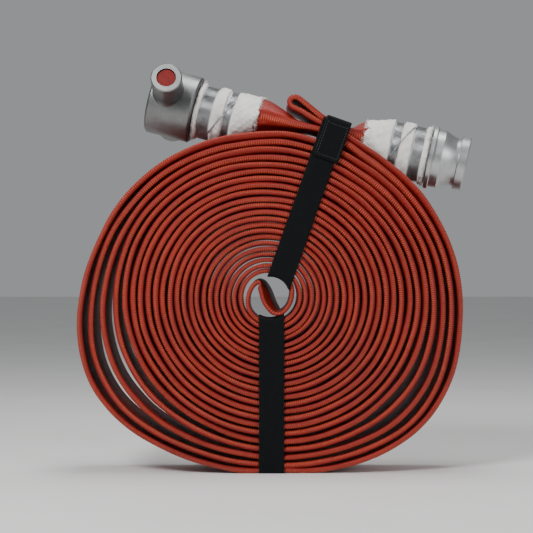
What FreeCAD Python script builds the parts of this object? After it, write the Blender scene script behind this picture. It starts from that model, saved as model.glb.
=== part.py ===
import FreeCAD, Part
import math
import os
import Sketcher

# A length of layflat fire hose, folded at its middle, rolled double from its S-shaped centre
# and held by two webbing straps, with an instantaneous coupling bound into each of its ends.
# X runs to the right, Y to the back and Z up; the origin is on the floor, under the centre
# of the roll.  All lengths are in millimetres and all angles in degrees.

SIZES = [
    # the hose and the roll
    ("hose_width", 112.0, "width of the hose when it lies flat"),
    ("hose_thickness", 5.0, "thickness of the flat hose, both walls"),
    ("hose_outer_radius", 37.0, "outer radius of the hose where it is round"),
    ("hose_bore_radius", 35.05, "bore radius of the hose over a coupling tail"),
    ("roll_height", 265.0, "height of the centre of the roll above the floor"),
    ("coil_start", 33.0, "radius at which the two arms of the spiral start"),
    ("coil_pitch", 15.82, "growth of the radius in one turn"),
    ("coil_loosening", 0.372, "extra growth of the radius, per turn squared"),
    ("core_turns", 0.34, "turns of each arm that the S-shaped centre takes up"),
    ("turns_to_male", 11.825, "turns of the arm that ends at the male coupling"),
    ("turns_to_female", 11.325, "turns of the arm that ends at the female coupling"),
    ("floor_line", 2.2, "lowest height of the middle of the outer strand"),
    # the webbing straps
    ("webbing_width", 38.0, "width of the webbing"),
    ("webbing_thickness", 2.0, "thickness of the webbing"),
    ("strap_gap", 1.0, "space between a strap and the edges of the hose"),
    ("upper_strap_lean", 19.5, "lean of the upper strap from upright"),
    ("upper_strap_offset", 5.0, "sideways offset of the middle of the upper strap"),
    ("upper_strap_reach", 287.3, "distance from the centre of the roll to the top of the strap"),
    ("upper_strap_inner", 30.2, "inner radius of the upper strap inside the roll"),
    ("upper_overlap", 64.0, "length of the second layer of the upper strap"),
    ("upper_overlap_shift", 5.0, "sideways shift of that layer"),
    ("lower_overlap", 70.0, "length of the second layer of the lower strap"),
    ("lower_overlap_drop", 60.0, "distance of that layer from the floor"),
    ("lower_strap_offset", 2.3, "sideways offset of the middle of the lower strap"),
    ("lower_strap_inner", 33.2, "inner radius of the lower strap inside the roll"),
    ("pad_length", 60.0, "length of a hook pad"),
    ("pad_width", 34.0, "width of a hook pad"),
    ("pad_thickness", 1.0, "thickness of a hook pad"),
    ("pad_inset", 2.0, "distance of a hook pad from the free end of its strap"),
    ("strap_foot_share", 0.72, "height where the legs of a strap end, as a share of its inner radius"),
    # play and cuts shared by all pieces
    ("fit_play", 0.1, "play between pieces that sit against each other"),
    ("close_play", 0.05, "play between pieces that touch"),
    ("overcut", 1.0, "distance by which a cut runs past the face it opens"),
    # both couplings
    ("waterway_radius", 31.5, "radius of the waterway"),
    ("coupling_tail_radius", 35.0, "outer radius of a coupling tail"),
    ("barb_depth", 0.8, "depth of the serrations of a tail"),
    ("barb_pitch", 12.0, "distance between the serrations of a tail"),
    ("wire_radius", 0.8, "radius of the binding wire"),
    ("wire_pitch", 1.68, "advance of the binding wire in one turn"),
    ("cloth_gap", 0.1, "space between the hose and the binding cloth"),
    ("cloth_bevel", 1.2, "bevel of the folds of the cloth beside the wire"),
    ("sleeve_gap", 0.8, "space between the oval part of the hose and the cloth"),
    ("sleeve_thickness", 2.6, "height of the end of the cloth above the hose"),
    ("sleeve_step", 0.6, "step down from the folds of the cloth to its oval part"),
    ("sleeve_lap", 1.0, "overlap of the round and the oval part of the cloth"),
    ("crossing_play", 0.4, "space between a wire band and the wire that crosses the cloth"),
    ("crossing_pitches", 3.2, "pitch of the crossing wire, in widths of the cloth it crosses"),
    ("crossing_angle", 20.0, "angle at which the crossing wire starts"),
    ("hose_end_gap", 0.6, "space between the end of the hose and its coupling"),
    # the female coupling
    ("female_slope", 14.8, "fall of its axis towards the hose"),
    ("female_yaw", 5.0, "turn of its axis, hose end to the front"),
    ("boss_rise", 18.7, "rise of the front boss above level"),
    ("female_body_radius", 51.0, "outer radius of the body"),
    ("female_length", 69.5, "length of the body from its back rim to its mouth"),
    ("female_chamfer", 2.6, "bevel of the back rim and the mouth"),
    ("female_tail", 62.0, "length of the tail"),
    ("washer_seat", 16.0, "height of the seat of the sealing washer"),
    ("washer_seat_radius", 43.0, "radius of the recess for the sealing washer"),
    ("socket_floor", 22.0, "height at which the socket starts"),
    ("socket_radius", 42.0, "radius of the socket"),
    ("socket_top", 48.0, "height at which the socket starts to widen"),
    ("mouth_bottom", 51.5, "height at which the mouth starts"),
    ("mouth_radius", 45.5, "radius of the mouth"),
    ("mouth_lip", 1.6, "bevel inside the mouth"),
    ("boss_station", 43.0, "height of the axis of the bosses"),
    ("boss_radius", 23.5, "outer radius of a boss"),
    ("boss_reach", 94.0, "distance from the axis of the coupling to the face of a boss"),
    ("boss_bevel", 1.6, "bevel of a boss"),
    ("flare_radius", 26.2, "radius of the flare at the foot of a boss"),
    ("flare_bottom", 44.0, "distance from the axis to the foot of the flare"),
    ("flare_top", 58.0, "distance from the axis to the top of the flare"),
    ("flare_curve", 24.0, "radius of the curve of the flare"),
    ("guide_radius", 6.5, "radius of the guide hole of a plunger"),
    ("chamber_floor", 52.0, "distance from the axis to the floor of a spring chamber"),
    ("chamber_radius", 14.75, "radius of a spring chamber"),
    # the latch plungers, with lengths measured from the axis of the coupling
    ("nose_tip", 38.2, "distance from the axis to the tip of a nose"),
    ("nose_radius", 6.45, "radius of a nose"),
    ("nose_bevel", 1.5, "bevel of a nose"),
    ("collar_radius", 13.5, "radius of the collar of a plunger"),
    ("collar_thickness", 3.0, "thickness of the collar of a plunger"),
    ("stem_radius", 5.0, "radius of the stem of a plunger"),
    ("spigot_radius", 3.0, "radius of the spigot that carries the head"),
    ("head_bottom", 88.6, "distance from the axis to the back of a head"),
    ("head_top", 91.4, "distance from the axis to the face of a head"),
    ("head_radius", 14.2, "radius of a head"),
    ("head_bevel", 0.6, "bevel of a head"),
    ("head_cover", 1.0, "thickness of a head over its spigot"),
    ("gland_bottom", 79.0, "distance from the axis to the inner face of a gland"),
    ("gland_top", 84.0, "distance from the axis to the outer face of a gland"),
    ("gland_bore", 5.05, "bore radius of a gland"),
    ("spring_wire_radius", 0.8, "wire radius of a plunger spring"),
    ("spring_radius", 9.6, "mean radius of a plunger spring"),
    ("spring_turns", 6.0, "turns of a plunger spring"),
    ("spring_room", 0.1, "play at each end of a plunger spring"),
    ("washer_inner_radius", 34.0, "inner radius of the sealing washer"),
    ("washer_outer_radius", 42.8, "outer radius of the sealing washer"),
    ("washer_thickness", 5.6, "thickness of the sealing washer"),
    # the binding of the female coupling, with lengths measured from its back rim
    ("female_cloth_start", 0.8, "start of the cloth"),
    ("female_cloth_radius", 43.4, "radius of the cloth between the wire bands"),
    ("female_groove_radius", 39.2, "radius of the cloth under the wire"),
    ("female_band_one", 9.0, "start of the first wire band"),
    ("female_band_one_end", 30.0, "end of the first wire band"),
    ("female_band_two", 47.0, "start of the second wire band"),
    ("female_band_two_end", 60.0, "end of the second wire band"),
    ("female_round_end", 63.0, "distance over which the hose end is round"),
    ("female_cloth_end", 96.0, "end of the cloth"),
    ("female_oval_height", 55.0, "height of the hose at the end of the cloth"),
    ("female_oval_width", 84.0, "width of the hose at the end of the cloth"),
    ("female_oval_lift", 14.0, "lift of the hose off the axis at the end of the cloth"),
    # the male coupling
    ("ring_bevel", 1.0, "bevel of the flange ring and of the bore"),
    ("male_slope", 12.5, "fall of its axis away from the hose"),
    ("male_yaw", 6.0, "turn of its axis, nose to the front"),
    ("male_tail", 61.5, "length of the tail"),
    ("ring_radius", 48.5, "radius of the flange ring"),
    ("ring_width", 7.0, "width of the flange ring"),
    ("shoulder_radius", 44.5, "radius of the shoulder"),
    ("shoulder_top", 19.0, "height of the end of the shoulder"),
    ("taper_top", 38.5, "height of the end of the taper"),
    ("taper_curve", 62.0, "radius of the curve of the taper"),
    ("neck_radius", 37.0, "radius of the neck"),
    ("rim_bottom", 43.5, "height of the start of the nose rim"),
    ("rim_top", 57.8, "height of the face of the nose rim"),
    ("rim_radius", 41.5, "radius of the nose rim"),
    ("rim_bevel", 1.4, "bevel of the nose rim"),
    # the binding of the male coupling, with lengths measured from its flange ring
    ("male_cloth_start", 0.8, "start of the cloth"),
    ("male_cloth_radius", 44.2, "radius of the cloth between the wire bands"),
    ("male_groove_radius", 40.4, "radius of the cloth under the wire"),
    ("male_band_one", 10.7, "start of the first wire band"),
    ("male_band_one_end", 27.7, "end of the first wire band"),
    ("male_band_two", 45.7, "start of the second wire band"),
    ("male_band_two_end", 60.0, "end of the second wire band"),
    ("male_round_end", 62.5, "distance over which the hose end is round"),
    ("male_cloth_end", 100.0, "end of the cloth"),
    ("male_oval_height", 48.0, "height of the hose at the end of the cloth"),
    ("male_oval_width", 88.0, "width of the hose at the end of the cloth"),
    ("male_oval_lift", 8.5, "lift of the hose off the axis at the end of the cloth"),
]

FEMALE_RIM = (-113.0, 8.4, 551.2)  # centre of the back rim of the female coupling
MALE_RING = (243.4, -10.3, 478.7)  # centre of the back of the flange ring of the male coupling

Vector = FreeCAD.Vector
doc = FreeCAD.newDocument("rolled_fire_hose")


# --- sizes -----------------------------------------------------------------------------------

def fill_sheet():
    sheet = doc.addObject("Spreadsheet::Sheet", "Sizes")
    for row, (alias, value, meaning) in enumerate(SIZES, start=1):
        sheet.set(f"A{row}", meaning)
        sheet.set(f"B{row}", str(value))
        sheet.setAlias(f"B{row}", alias)
    doc.recompute()
    return sheet


sheet = fill_sheet()


class Length:
    """A number together with the sheet expression that gives it."""

    def __init__(self, value, text):
        self.value = value
        self.text = text

    def __add__(self, other):
        other = as_length(other)
        return Length(self.value + other.value, f"({self.text} + {other.text})")

    def __sub__(self, other):
        other = as_length(other)
        return Length(self.value - other.value, f"({self.text} - {other.text})")

    def __mul__(self, factor):
        return Length(self.value * factor, f"({self.text} * {factor})")

    def __neg__(self):
        return Length(-self.value, f"(-{self.text})")


def as_length(thing):
    return thing if isinstance(thing, Length) else Length(float(thing), str(thing))


def size(alias):
    return float(sheet.get(alias))


def cell(alias):
    return Length(size(alias), f"Sizes.{alias}")


def bind(thing, **properties):
    """Bind the properties of an object to lengths worked out from the sheet."""
    for name, length in properties.items():
        thing.setExpression(name, as_length(length).text)


# --- sketches and turned pieces --------------------------------------------------------------

def plane_of(body, role):
    return next(feature for feature in body.Origin.OriginFeatures if feature.Role == role)


def fix_point(sketch, edge, end, across, up):
    """Hold one end of an edge at (across, up), both measured from the sketch's origin."""
    for kind, axis, length in (("DistanceX", -2, across), ("DistanceY", -1, up)):
        length = as_length(length)
        if length.value == 0:
            sketch.addConstraint(Sketcher.Constraint("PointOnObject", edge, end, axis))
            continue
        index = sketch.addConstraint(Sketcher.Constraint(kind, -1, 1, edge, end, length.value))
        sketch.setExpression(f"Constraints[{index}]", length.text)


def arc_between(start, end, radius, left):
    """The short arc from start to end, which bends to the left or to the right on its way."""
    chord = end - start
    half = chord.Length / 2
    side = Vector(-chord.y, chord.x, 0).normalize() * (1 if left else -1)
    centre = start + chord * 0.5 + side * math.sqrt(radius ** 2 - half ** 2)
    middle = centre - side * radius
    return Part.Arc(start, middle, end)


def draw_outline(sketch, corners):
    """Draw a closed outline.  A corner is (across, up), or (across, up, radius, left)
    when the stretch that leads from it to the next corner is an arc."""
    points = [Vector(as_length(c[0]).value, as_length(c[1]).value, 0) for c in corners]
    starts = []
    ends = []
    for index, corner in enumerate(corners):
        start = points[index]
        end = points[(index + 1) % len(points)]
        if len(corner) == 2:
            edge = sketch.addGeometry(Part.LineSegment(start, end), False)
            swapped = False
        else:
            arc = arc_between(start, end, corner[2].value, corner[3])
            edge = sketch.addGeometry(arc, False)
            swapped = sketch.getPoint(edge, 1).distanceToPoint(start) > 1e-6
            ring = sketch.addConstraint(Sketcher.Constraint("Radius", edge, corner[2].value))
            sketch.setExpression(f"Constraints[{ring}]", corner[2].text)
        starts.append((edge, 2 if swapped else 1))
        ends.append((edge, 1 if swapped else 2))
    for index in range(len(corners)):
        following = starts[(index + 1) % len(corners)]
        sketch.addConstraint(Sketcher.Constraint("Coincident", *ends[index], *following))
    for index, corner in enumerate(corners):
        fix_point(sketch, *starts[index], corner[0], corner[1])


def sketch_on(body, name, role, corners):
    sketch = body.newObject("Sketcher::SketchObject", name)
    sketch.AttachmentSupport = [(plane_of(body, role), "")]
    sketch.MapMode = "FlatFace"
    draw_outline(sketch, corners)
    return sketch


def turn(body, sketch, kind, axis):
    """Turn a sketch round one of its own axes, to add (Revolution) or to cut (Groove)."""
    feature = body.newObject(f"PartDesign::{kind}", f"{sketch.Name}_turned")
    feature.Profile = sketch
    feature.ReferenceAxis = (sketch, [axis])
    feature.Angle = 360
    doc.recompute()
    return feature


def turned_piece(label, placement, corners):
    """A piece turned about its own Z axis; its corners are (radius, height)."""
    body = doc.addObject("PartDesign::Body", label)
    turn(body, sketch_on(body, f"{label}_profile", "XZ_Plane", corners), "Revolution", "V_Axis")
    body.Placement = placement
    return body


# --- where the couplings lie -----------------------------------------------------------------

def coupling_placement(origin, slope, yaw, outward, boss_rise):
    """Placement of a coupling: its Z points out of the hose, and its Y points to the front
    and rises by boss_rise above level."""
    fall = math.radians(slope)
    swing = math.radians(yaw)
    along = Vector(math.cos(fall) * math.cos(swing), -math.sin(swing), -math.sin(fall) * math.cos(swing))
    level = Vector(0, 0, 1).cross(along).normalize() * -1
    upward = level.cross(along).normalize()
    upward = upward * (1 if upward.z > 0 else -1)
    lift = math.asin(math.sin(math.radians(boss_rise)) / upward.z)
    front = level * math.cos(lift) + upward * math.sin(lift)
    axis = along * outward
    return FreeCAD.Placement(Vector(*origin), FreeCAD.Rotation(front.cross(axis), front, axis, "ZYX"))


female_place = coupling_placement(FEMALE_RIM, size("female_slope"), size("female_yaw"), -1, size("boss_rise"))
male_place = coupling_placement(MALE_RING, size("male_slope"), size("male_yaw"), 1, 0.0)


def boss_placement(side):
    """Placement of what sits in a boss: its Z runs out along the boss from the coupling's axis."""
    tip = FreeCAD.Rotation(Vector(1, 0, 0), -90 * side)
    return female_place.multiply(FreeCAD.Placement(Vector(0, 0, size("boss_station")), tip))


# --- the couplings ---------------------------------------------------------------------------

def serrated_tail(length):
    """Corners of the outside of a tail, from its free end up to the body."""
    radius = cell("coupling_tail_radius")
    depth = cell("barb_depth")
    corners = [(radius - depth * 2, -length)]
    steps = 4
    for step in range(steps):
        top = length - cell("barb_pitch") * (step + 1)
        corners.append((radius, -top))
        corners.append((radius - depth, -top))
    corners.append((radius, as_length(-4.0)))
    return corners


def make_female_body():
    body = doc.addObject("PartDesign::Body", "female_body")
    outside = cell("female_body_radius")
    bevel = cell("female_chamfer")
    top = cell("female_length")
    tail = cell("female_tail")
    shell = [(0.0, -tail)] + serrated_tail(tail) + [
        (cell("coupling_tail_radius"), 0.0),
        (outside - bevel, 0.0),
        (outside, bevel),
        (outside, top - bevel),
        (outside - bevel, top),
        (0.0, top),
    ]
    turn(body, sketch_on(body, "female_shell", "XZ_Plane", shell), "Revolution", "V_Axis")

    face = cell("boss_reach")
    radius = cell("boss_radius")
    edge = cell("boss_bevel")
    flare = cell("flare_radius")
    foot = cell("flare_bottom")
    neck = cell("flare_top")
    curve = cell("flare_curve")
    bosses = [
        (-face, 0.0),
        (-face, radius - edge),
        (-(face - edge), radius),
        (-neck, radius, curve, True),
        (-foot, flare),
        (foot, flare, curve, True),
        (neck, radius),
        (face - edge, radius),
        (face, radius - edge),
        (face, 0.0),
    ]
    sketch = sketch_on(body, "boss_outline", "YZ_Plane", bosses)
    bind(sketch, **{"AttachmentOffset.Base.y": cell("boss_station")})
    turn(body, sketch, "Revolution", "H_Axis")

    lip = cell("mouth_lip")
    overcut = cell("overcut")
    hollow = [
        (0.0, -tail - overcut),
        (cell("waterway_radius"), -tail - overcut),
        (cell("waterway_radius"), cell("washer_seat")),
        (cell("washer_seat_radius"), cell("washer_seat")),
        (cell("washer_seat_radius"), cell("socket_floor")),
        (cell("socket_radius"), cell("socket_floor")),
        (cell("socket_radius"), cell("socket_top")),
        (cell("mouth_radius"), cell("mouth_bottom")),
        (cell("mouth_radius"), top - lip),
        (cell("mouth_radius") + lip, top),
        (cell("mouth_radius") + lip, top + overcut),
        (0.0, top + overcut),
    ]
    turn(body, sketch_on(body, "female_hollow", "XZ_Plane", hollow), "Groove", "V_Axis")

    guide = cell("guide_radius")
    floor = cell("chamber_floor")
    chamber = cell("chamber_radius")
    holes = [
        (-face - overcut, 0.0),
        (-face - overcut, chamber),
        (-floor, chamber),
        (-floor, guide),
        (floor, guide),
        (floor, chamber),
        (face + overcut, chamber),
        (face + overcut, 0.0),
    ]
    sketch = sketch_on(body, "boss_holes", "YZ_Plane", holes)
    bind(sketch, **{"AttachmentOffset.Base.y": cell("boss_station")})
    turn(body, sketch, "Groove", "H_Axis")
    body.Placement = female_place
    return body


def make_male_body():
    tail = cell("male_tail")
    bore = cell("waterway_radius")
    ring = cell("ring_radius")
    edge = cell("ring_bevel")
    width = cell("ring_width")
    shoulder = cell("shoulder_radius")
    neck = cell("neck_radius")
    rim = cell("rim_radius")
    bevel = cell("rim_bevel")
    top = cell("rim_top")
    corners = [(bore, -tail)] + serrated_tail(tail) + [
        (cell("coupling_tail_radius"), 0.0),
        (ring - edge, 0.0),
        (ring, edge),
        (ring, width - edge),
        (ring - edge, width),
        (shoulder, width),
        (shoulder, cell("shoulder_top"), cell("taper_curve"), False),
        (neck, cell("taper_top")),
        (neck, cell("rim_bottom")),
        (rim - bevel, cell("rim_bottom")),
        (rim, cell("rim_bottom") + bevel),
        (rim, top - bevel),
        (rim - bevel, top),
        (bore + edge, top),
        (bore, top - edge),
    ]
    return turned_piece("male_body", male_place, corners)


def make_sealing_washer():
    seat = cell("washer_seat") + cell("fit_play")
    inner = cell("washer_inner_radius")
    outer = cell("washer_outer_radius")
    thick = cell("washer_thickness")
    corners = [
        (inner, seat),
        (outer, seat),
        (outer, seat + thick),
        (inner + 3, seat + thick),
        (inner + 1, seat + thick - 2),
        (inner, seat + thick - 2),
    ]
    return turned_piece("sealing_washer", female_place, corners)


def make_latch(end, side):
    """The plunger, its gland and its head in the boss on one side."""
    place = boss_placement(side)
    floor = cell("chamber_floor") + cell("close_play")
    nose = cell("nose_radius")
    bevel = cell("nose_bevel")
    tip = cell("nose_tip")
    stem = cell("stem_radius")
    shelf = floor + cell("collar_thickness")
    spigot = cell("spigot_radius")
    back = cell("head_bottom")
    front = cell("head_top")
    cover = cell("head_cover")
    plunger = [
        (0.0, tip),
        (nose - bevel, tip),
        (nose, tip + bevel),
        (nose, floor),
        (cell("collar_radius"), floor),
        (cell("collar_radius"), shelf),
        (stem, shelf),
        (stem, back),
        (spigot, back),
        (spigot, front - cover),
        (0.0, front - cover),
    ]
    turned_piece(f"latch_plunger_{end}", place, plunger)
    edge = cell("head_bevel")
    rim = cell("head_radius")
    head = [
        (spigot, back),
        (rim - edge, back),
        (rim, back + edge),
        (rim, front - edge),
        (rim - edge, front),
        (0.0, front),
        (0.0, front - cover),
        (spigot, front - cover),
    ]
    turned_piece(f"release_head_{end}", place, head)
    gland = [
        (cell("gland_bore"), cell("gland_bottom")),
        (cell("chamber_radius"), cell("gland_bottom")),
        (cell("chamber_radius"), cell("gland_top")),
        (cell("gland_bore"), cell("gland_top")),
    ]
    turned_piece(f"plunger_gland_{end}", place, gland)


# --- wound wire ------------------------------------------------------------------------------

def wound_wire(label, radius, pitch, rise, wire):
    """A round wire wound about Z; it starts at height 0 and climbs by rise."""
    helix = doc.addObject("Part::Helix", f"{label}_line")
    bind(helix, Radius=radius, Pitch=pitch, Height=rise)
    helix.Style = "New style"
    section = doc.addObject("Part::Circle", f"{label}_section")
    bind(section, Radius=wire)
    section.Placement = FreeCAD.Placement(Vector(0, 0, 0), FreeCAD.Rotation(Vector(1, 0, 0), 90))
    section.setExpression("Placement.Base.x", as_length(radius).text)
    doc.recompute()
    sweep = doc.addObject("Part::Sweep", label)
    sweep.Sections = [section]
    sweep.Spine = (helix, [])
    sweep.Solid = True
    sweep.Frenet = True
    return sweep


def make_spring(end, side):
    """A coil spring of half rings, each tilted so that it climbs by half a turn's pitch."""
    wire = cell("spring_wire_radius")
    lowest = size("chamber_floor") + size("collar_thickness") + size("spring_wire_radius") + size("spring_room")
    highest = size("gland_bottom") - size("spring_wire_radius") - size("spring_room")
    count = round(2 * size("spring_turns"))
    climb = (highest - lowest) / count
    tilt = math.degrees(math.asin(climb / (2 * size("spring_radius"))))
    halves = []
    for number in range(count):
        half = doc.addObject("Part::Torus", f"spring_half_turn_{end}")
        bind(half, Radius1=cell("spring_radius"), Radius2=wire)
        half.Angle3 = 180
        facing = FreeCAD.Rotation(Vector(0, 0, 1), 180 * (number % 2))
        lean = FreeCAD.Rotation(Vector(0, 1, 0), -tilt if number % 2 else tilt)
        middle = Vector(0, 0, lowest + climb * (number + 0.5))
        half.Placement = FreeCAD.Placement(middle, lean.multiply(facing))
        halves.append(half)
    spring = doc.addObject("Part::MultiFuse", f"plunger_spring_{end}")
    spring.Shapes = halves
    spring.Placement = boss_placement(side)
    return spring


def make_binding_wire(kind, place):
    """Two bands of binding wire, turn beside turn, on one hose end, and the wire that
    crosses from one band to the other over the cloth between them."""
    wire = cell("wire_radius")
    seat = cell(f"{kind}_groove_radius") + wire + cell("close_play")
    pitch = size("wire_pitch")
    turns = []
    for number in ("one", "two"):
        start = size(f"{kind}_band_{number}") + wire.value + size("fit_play")
        end = size(f"{kind}_band_{number}_end") - wire.value
        for step in range(1 + math.floor((end - start) / pitch)):
            ring = doc.addObject("Part::Torus", f"{kind}_wire_turn")
            bind(ring, Radius1=seat, Radius2=wire)
            ring.Placement = FreeCAD.Placement(Vector(0, 0, -start - pitch * step), FreeCAD.Rotation())
            turns.append(ring)
    start = cell(f"{kind}_band_one_end") + cell("crossing_play")
    gap = cell(f"{kind}_band_two") - start - cell("crossing_play")
    lift = cell(f"{kind}_cloth_radius") + wire + cell("close_play")
    crossing = wound_wire(f"{kind}_wire_crossing", lift, gap * size("crossing_pitches"), gap, wire)
    crossing.Placement = FreeCAD.Placement(Vector(0, 0, -start.value - gap.value),
                                           FreeCAD.Rotation(Vector(0, 0, 1), size("crossing_angle")))
    turns.append(crossing)
    group = doc.addObject("Part::Compound", f"{kind}_binding_wire")
    group.Links = turns
    group.Placement = place
    return group


# --- the hose --------------------------------------------------------------------------------

# Slow waves and sags of the roll, which grow with the number of turns.  Each sag is
# (angle of its middle, its width in degrees, its height, turns where it starts and is full).
ROLL_WAVES = [(0.33, 1, 57.0), (0.71, 2, 15.0)]
ROLL_DRIFT = 0.55
ROLL_SAGS = [
    (207.0, 32.0, 32.0, 9.2, 11.2),
    (322.0, 25.0, 17.0, 9.2, 11.2),
    (48.0, 22.0, -26.0, 6.0, 11.0),
    (104.0, 24.0, -19.5, 6.5, 11.0),
]

# The way of the flat hose from the male coupling round the bight to the roll, as (x, z).
MALE_LEAD = [(101.6, 521.6), (89.6, 528.2), (79.1, 535.0), (57.6, 552.6), (47.6, 560.6),
             (40.1, 565.4), (33.6, 565.0), (29.8, 560.6), (30.2, 555.0), (35.1, 550.6),
             (43.6, 546.6), (59.6, 535.4), (74.6, 523.6), (97.6, 505.6)]
# The way of the flat hose from the roll to the female coupling.
FEMALE_LEAD = [(98.4, 493.6), (83.4, 505.4), (70.7, 513.6), (58.4, 518.4)]
# One half of the S-shaped centre, measured from the centre of the roll.
CORE_LEAD = [(0.0, 0.0), (-10.6, 20.0), (-15.2, 23.4), (-22.0, 20.4), (-29.4, 10.5), (-33.0, -2.0),
             (-30.8, -20.4)]
ARM_STARTS = {"male": 120.0, "female": -60.0}
ARC_TURN = 30.0  # degrees of the coil that one arc of the outline spans
ARC_LEAD = 5.0  # length of one arc of the outline elsewhere
FLAT_ARC = 0.004  # an arc that bulges less than this is drawn straight


def bell(angle, width):
    off = (angle + 180.0) % 360.0 - 180.0
    return math.exp(-(off / width) ** 2)


def ramp(value, low, high):
    part = min(max((value - low) / (high - low), 0.0), 1.0)
    return part * part * (3.0 - 2.0 * part)


def coil_point(arm, turns):
    """Middle of the hose on one arm of the spiral, as (x, z)."""
    angle = ARM_STARTS[arm] + 360.0 * turns
    radius = size("coil_start") + size("coil_pitch") * turns + size("coil_loosening") * turns ** 2
    radius += ROLL_DRIFT * turns
    for height, waves, phase in ROLL_WAVES:
        radius += turns * height * math.cos(math.radians(waves * (angle + phase)))
    for middle, width, height, start, full in ROLL_SAGS:
        radius += height * bell(angle - middle, width) * ramp(turns, start, full)
    x = radius * math.cos(math.radians(angle))
    z = size("roll_height") + radius * math.sin(math.radians(angle))
    over = z - size("floor_line")
    return x, size("floor_line") + 0.5 * (over + math.sqrt(over ** 2 + 1.0))


def coil_points(arm):
    """Points on the middle line of one arm, from the core outwards."""
    first = size("core_turns")
    last = size(f"turns_to_{arm}")
    count = 2 * round((last - first) * 360.0 / ARC_TURN)
    return [coil_point(arm, first + (last - first) * step / count) for step in range(count + 1)]


def hose_line():
    """Middle line of the flat hose, from the male end through the centre to the female end,
    as pairs of a point and the direction of the line there."""
    centre = size("roll_height")
    core = [(x, centre + z) for x, z in CORE_LEAD[::-1]] + [(-x, centre - z) for x, z in CORE_LEAD[1:]]
    parts = [MALE_LEAD, coil_points("male")[::-1], core, coil_points("female"), FEMALE_LEAD]
    guide = [point for part in parts for point in part]
    coiled = [part in (parts[1], parts[3]) for part in parts for point in part]
    curve = Part.BSplineCurve()
    curve.interpolate(Points=[Vector(x, 0, z) for x, z in guide])
    knots = curve.getKnots()
    places = []
    for index in range(len(guide) - 1):
        chord = math.dist(guide[index], guide[index + 1])
        free = not (coiled[index] and coiled[index + 1])
        steps = 2 * math.ceil(chord / ARC_LEAD) if free else 1
        span = knots[index + 1] - knots[index]
        places += [knots[index] + span * step / steps for step in range(steps)]
    places.append(knots[-1])
    return [(curve.value(place), curve.tangent(place)[0]) for place in places]


def side_edges(line, distance):
    """One side of the hose as a row of arcs, at a distance from its middle line."""
    across = Vector(0, 1, 0)
    points = [point + along.cross(across) * distance for point, along in line]
    edges = []
    for start, middle, end in zip(points[0::2], points[1::2], points[2::2]):
        if middle.distanceToLine(start, end - start) < FLAT_ARC:
            edges.append(Part.makeLine(start, end))
        else:
            edges.append(Part.Arc(start, middle, end).toShape())
    return edges


def flat_hose():
    line = hose_line()
    half = size("hose_thickness") / 2
    width = size("hose_width")
    one = side_edges(line, half)
    two = side_edges(line, -half)
    ends = [(one[0].firstVertex(True), two[0].firstVertex(True)), (one[-1].lastVertex(True), two[-1].lastVertex(True))]
    caps = [Part.makeLine(a.Point, b.Point) for a, b in ends]
    outline = Part.Wire(Part.__sortEdges__(one + two + caps))
    strip = Part.Face(outline).extrude(Vector(0, width, 0))
    strip.translate(Vector(0, -width / 2, 0))
    return strip


def oval(centre, along, width, height):
    """A closed oval wire across a direction, its long side level."""
    along = Vector(along).normalize()
    level = along.cross(Vector(0, 0, 1)).normalize()
    upward = level.cross(along).normalize()
    upward = upward * (1 if upward.z > 0 else -1)
    level = level * (1 if level.y > 0 else -1)
    ring = Part.Ellipse(centre + level * (width / 2), centre + upward * (height / 2), centre)
    return Part.Wire(ring.toShape())


def end_section(place, kind, back, grow):
    """The section of a hose end at a distance behind the rim of its coupling: round as far
    as the tail reaches, then evenly changing to an oval at the end of the cloth."""
    axis = place.Rotation.multVec(Vector(0, 0, 1))
    level = axis.cross(Vector(0, 0, 1)).normalize()
    upward = level.cross(axis).normalize()
    upward = upward * (1 if upward.z > 0 else -1)
    last = size(f"{kind}_cloth_end")
    first = size(f"{kind}_round_end")
    part = max(0.0, (back - first) / (last - first))
    thick = 2 * size("hose_outer_radius")
    width = thick + (size(f"{kind}_oval_width") - thick) * part + 2 * grow + 0.02
    height = thick + (size(f"{kind}_oval_height") - thick) * part + 2 * grow
    centre = place.multVec(Vector(0, 0, -back)) + upward * size(f"{kind}_oval_lift") * part
    return oval(centre, axis, width, height)


def along_axis(place, radius, start, end):
    """A cylinder on a coupling's axis between two distances behind its rim."""
    cylinder = Part.makeCylinder(radius, end - start, Vector(0, 0, -end))
    cylinder.Placement = place.multiply(cylinder.Placement)
    return cylinder


# The sections of the hose between the flat strip and the oval at the end of the cloth, as
# (x, z, slope in degrees, width, height).
FEMALE_CONE = [
    (64.6, 516.1, 20.0, 110.6, 6.4),
    (44.8, 523.1, 18.0, 108.5, 18.0),
    (21.7, 531.1, 17.0, 101.0, 31.0),
]
MALE_CONE = [
    (96.6, 524.2, 29.0, 110.6, 6.4),
    (114.6, 515.4, 22.0, 107.5, 16.5),
    (130.6, 510.2, 16.0, 99.0, 33.0),
]


def hose_end(place, kind, cone):
    """The end of the hose: flat, then oval, then round over the tail of its coupling."""
    wires = []
    for x, z, slope, width, height in cone:
        along = Vector(math.cos(math.radians(slope)), 0, -math.sin(math.radians(slope)))
        wires.append(oval(Vector(x, 0, z), along, width, height))
    for back in (size(f"{kind}_cloth_end"), size(f"{kind}_round_end"), size("hose_end_gap")):
        wires.append(end_section(place, kind, back, 0.0))
    return Part.makeLoft(wires, True, True)


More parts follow.
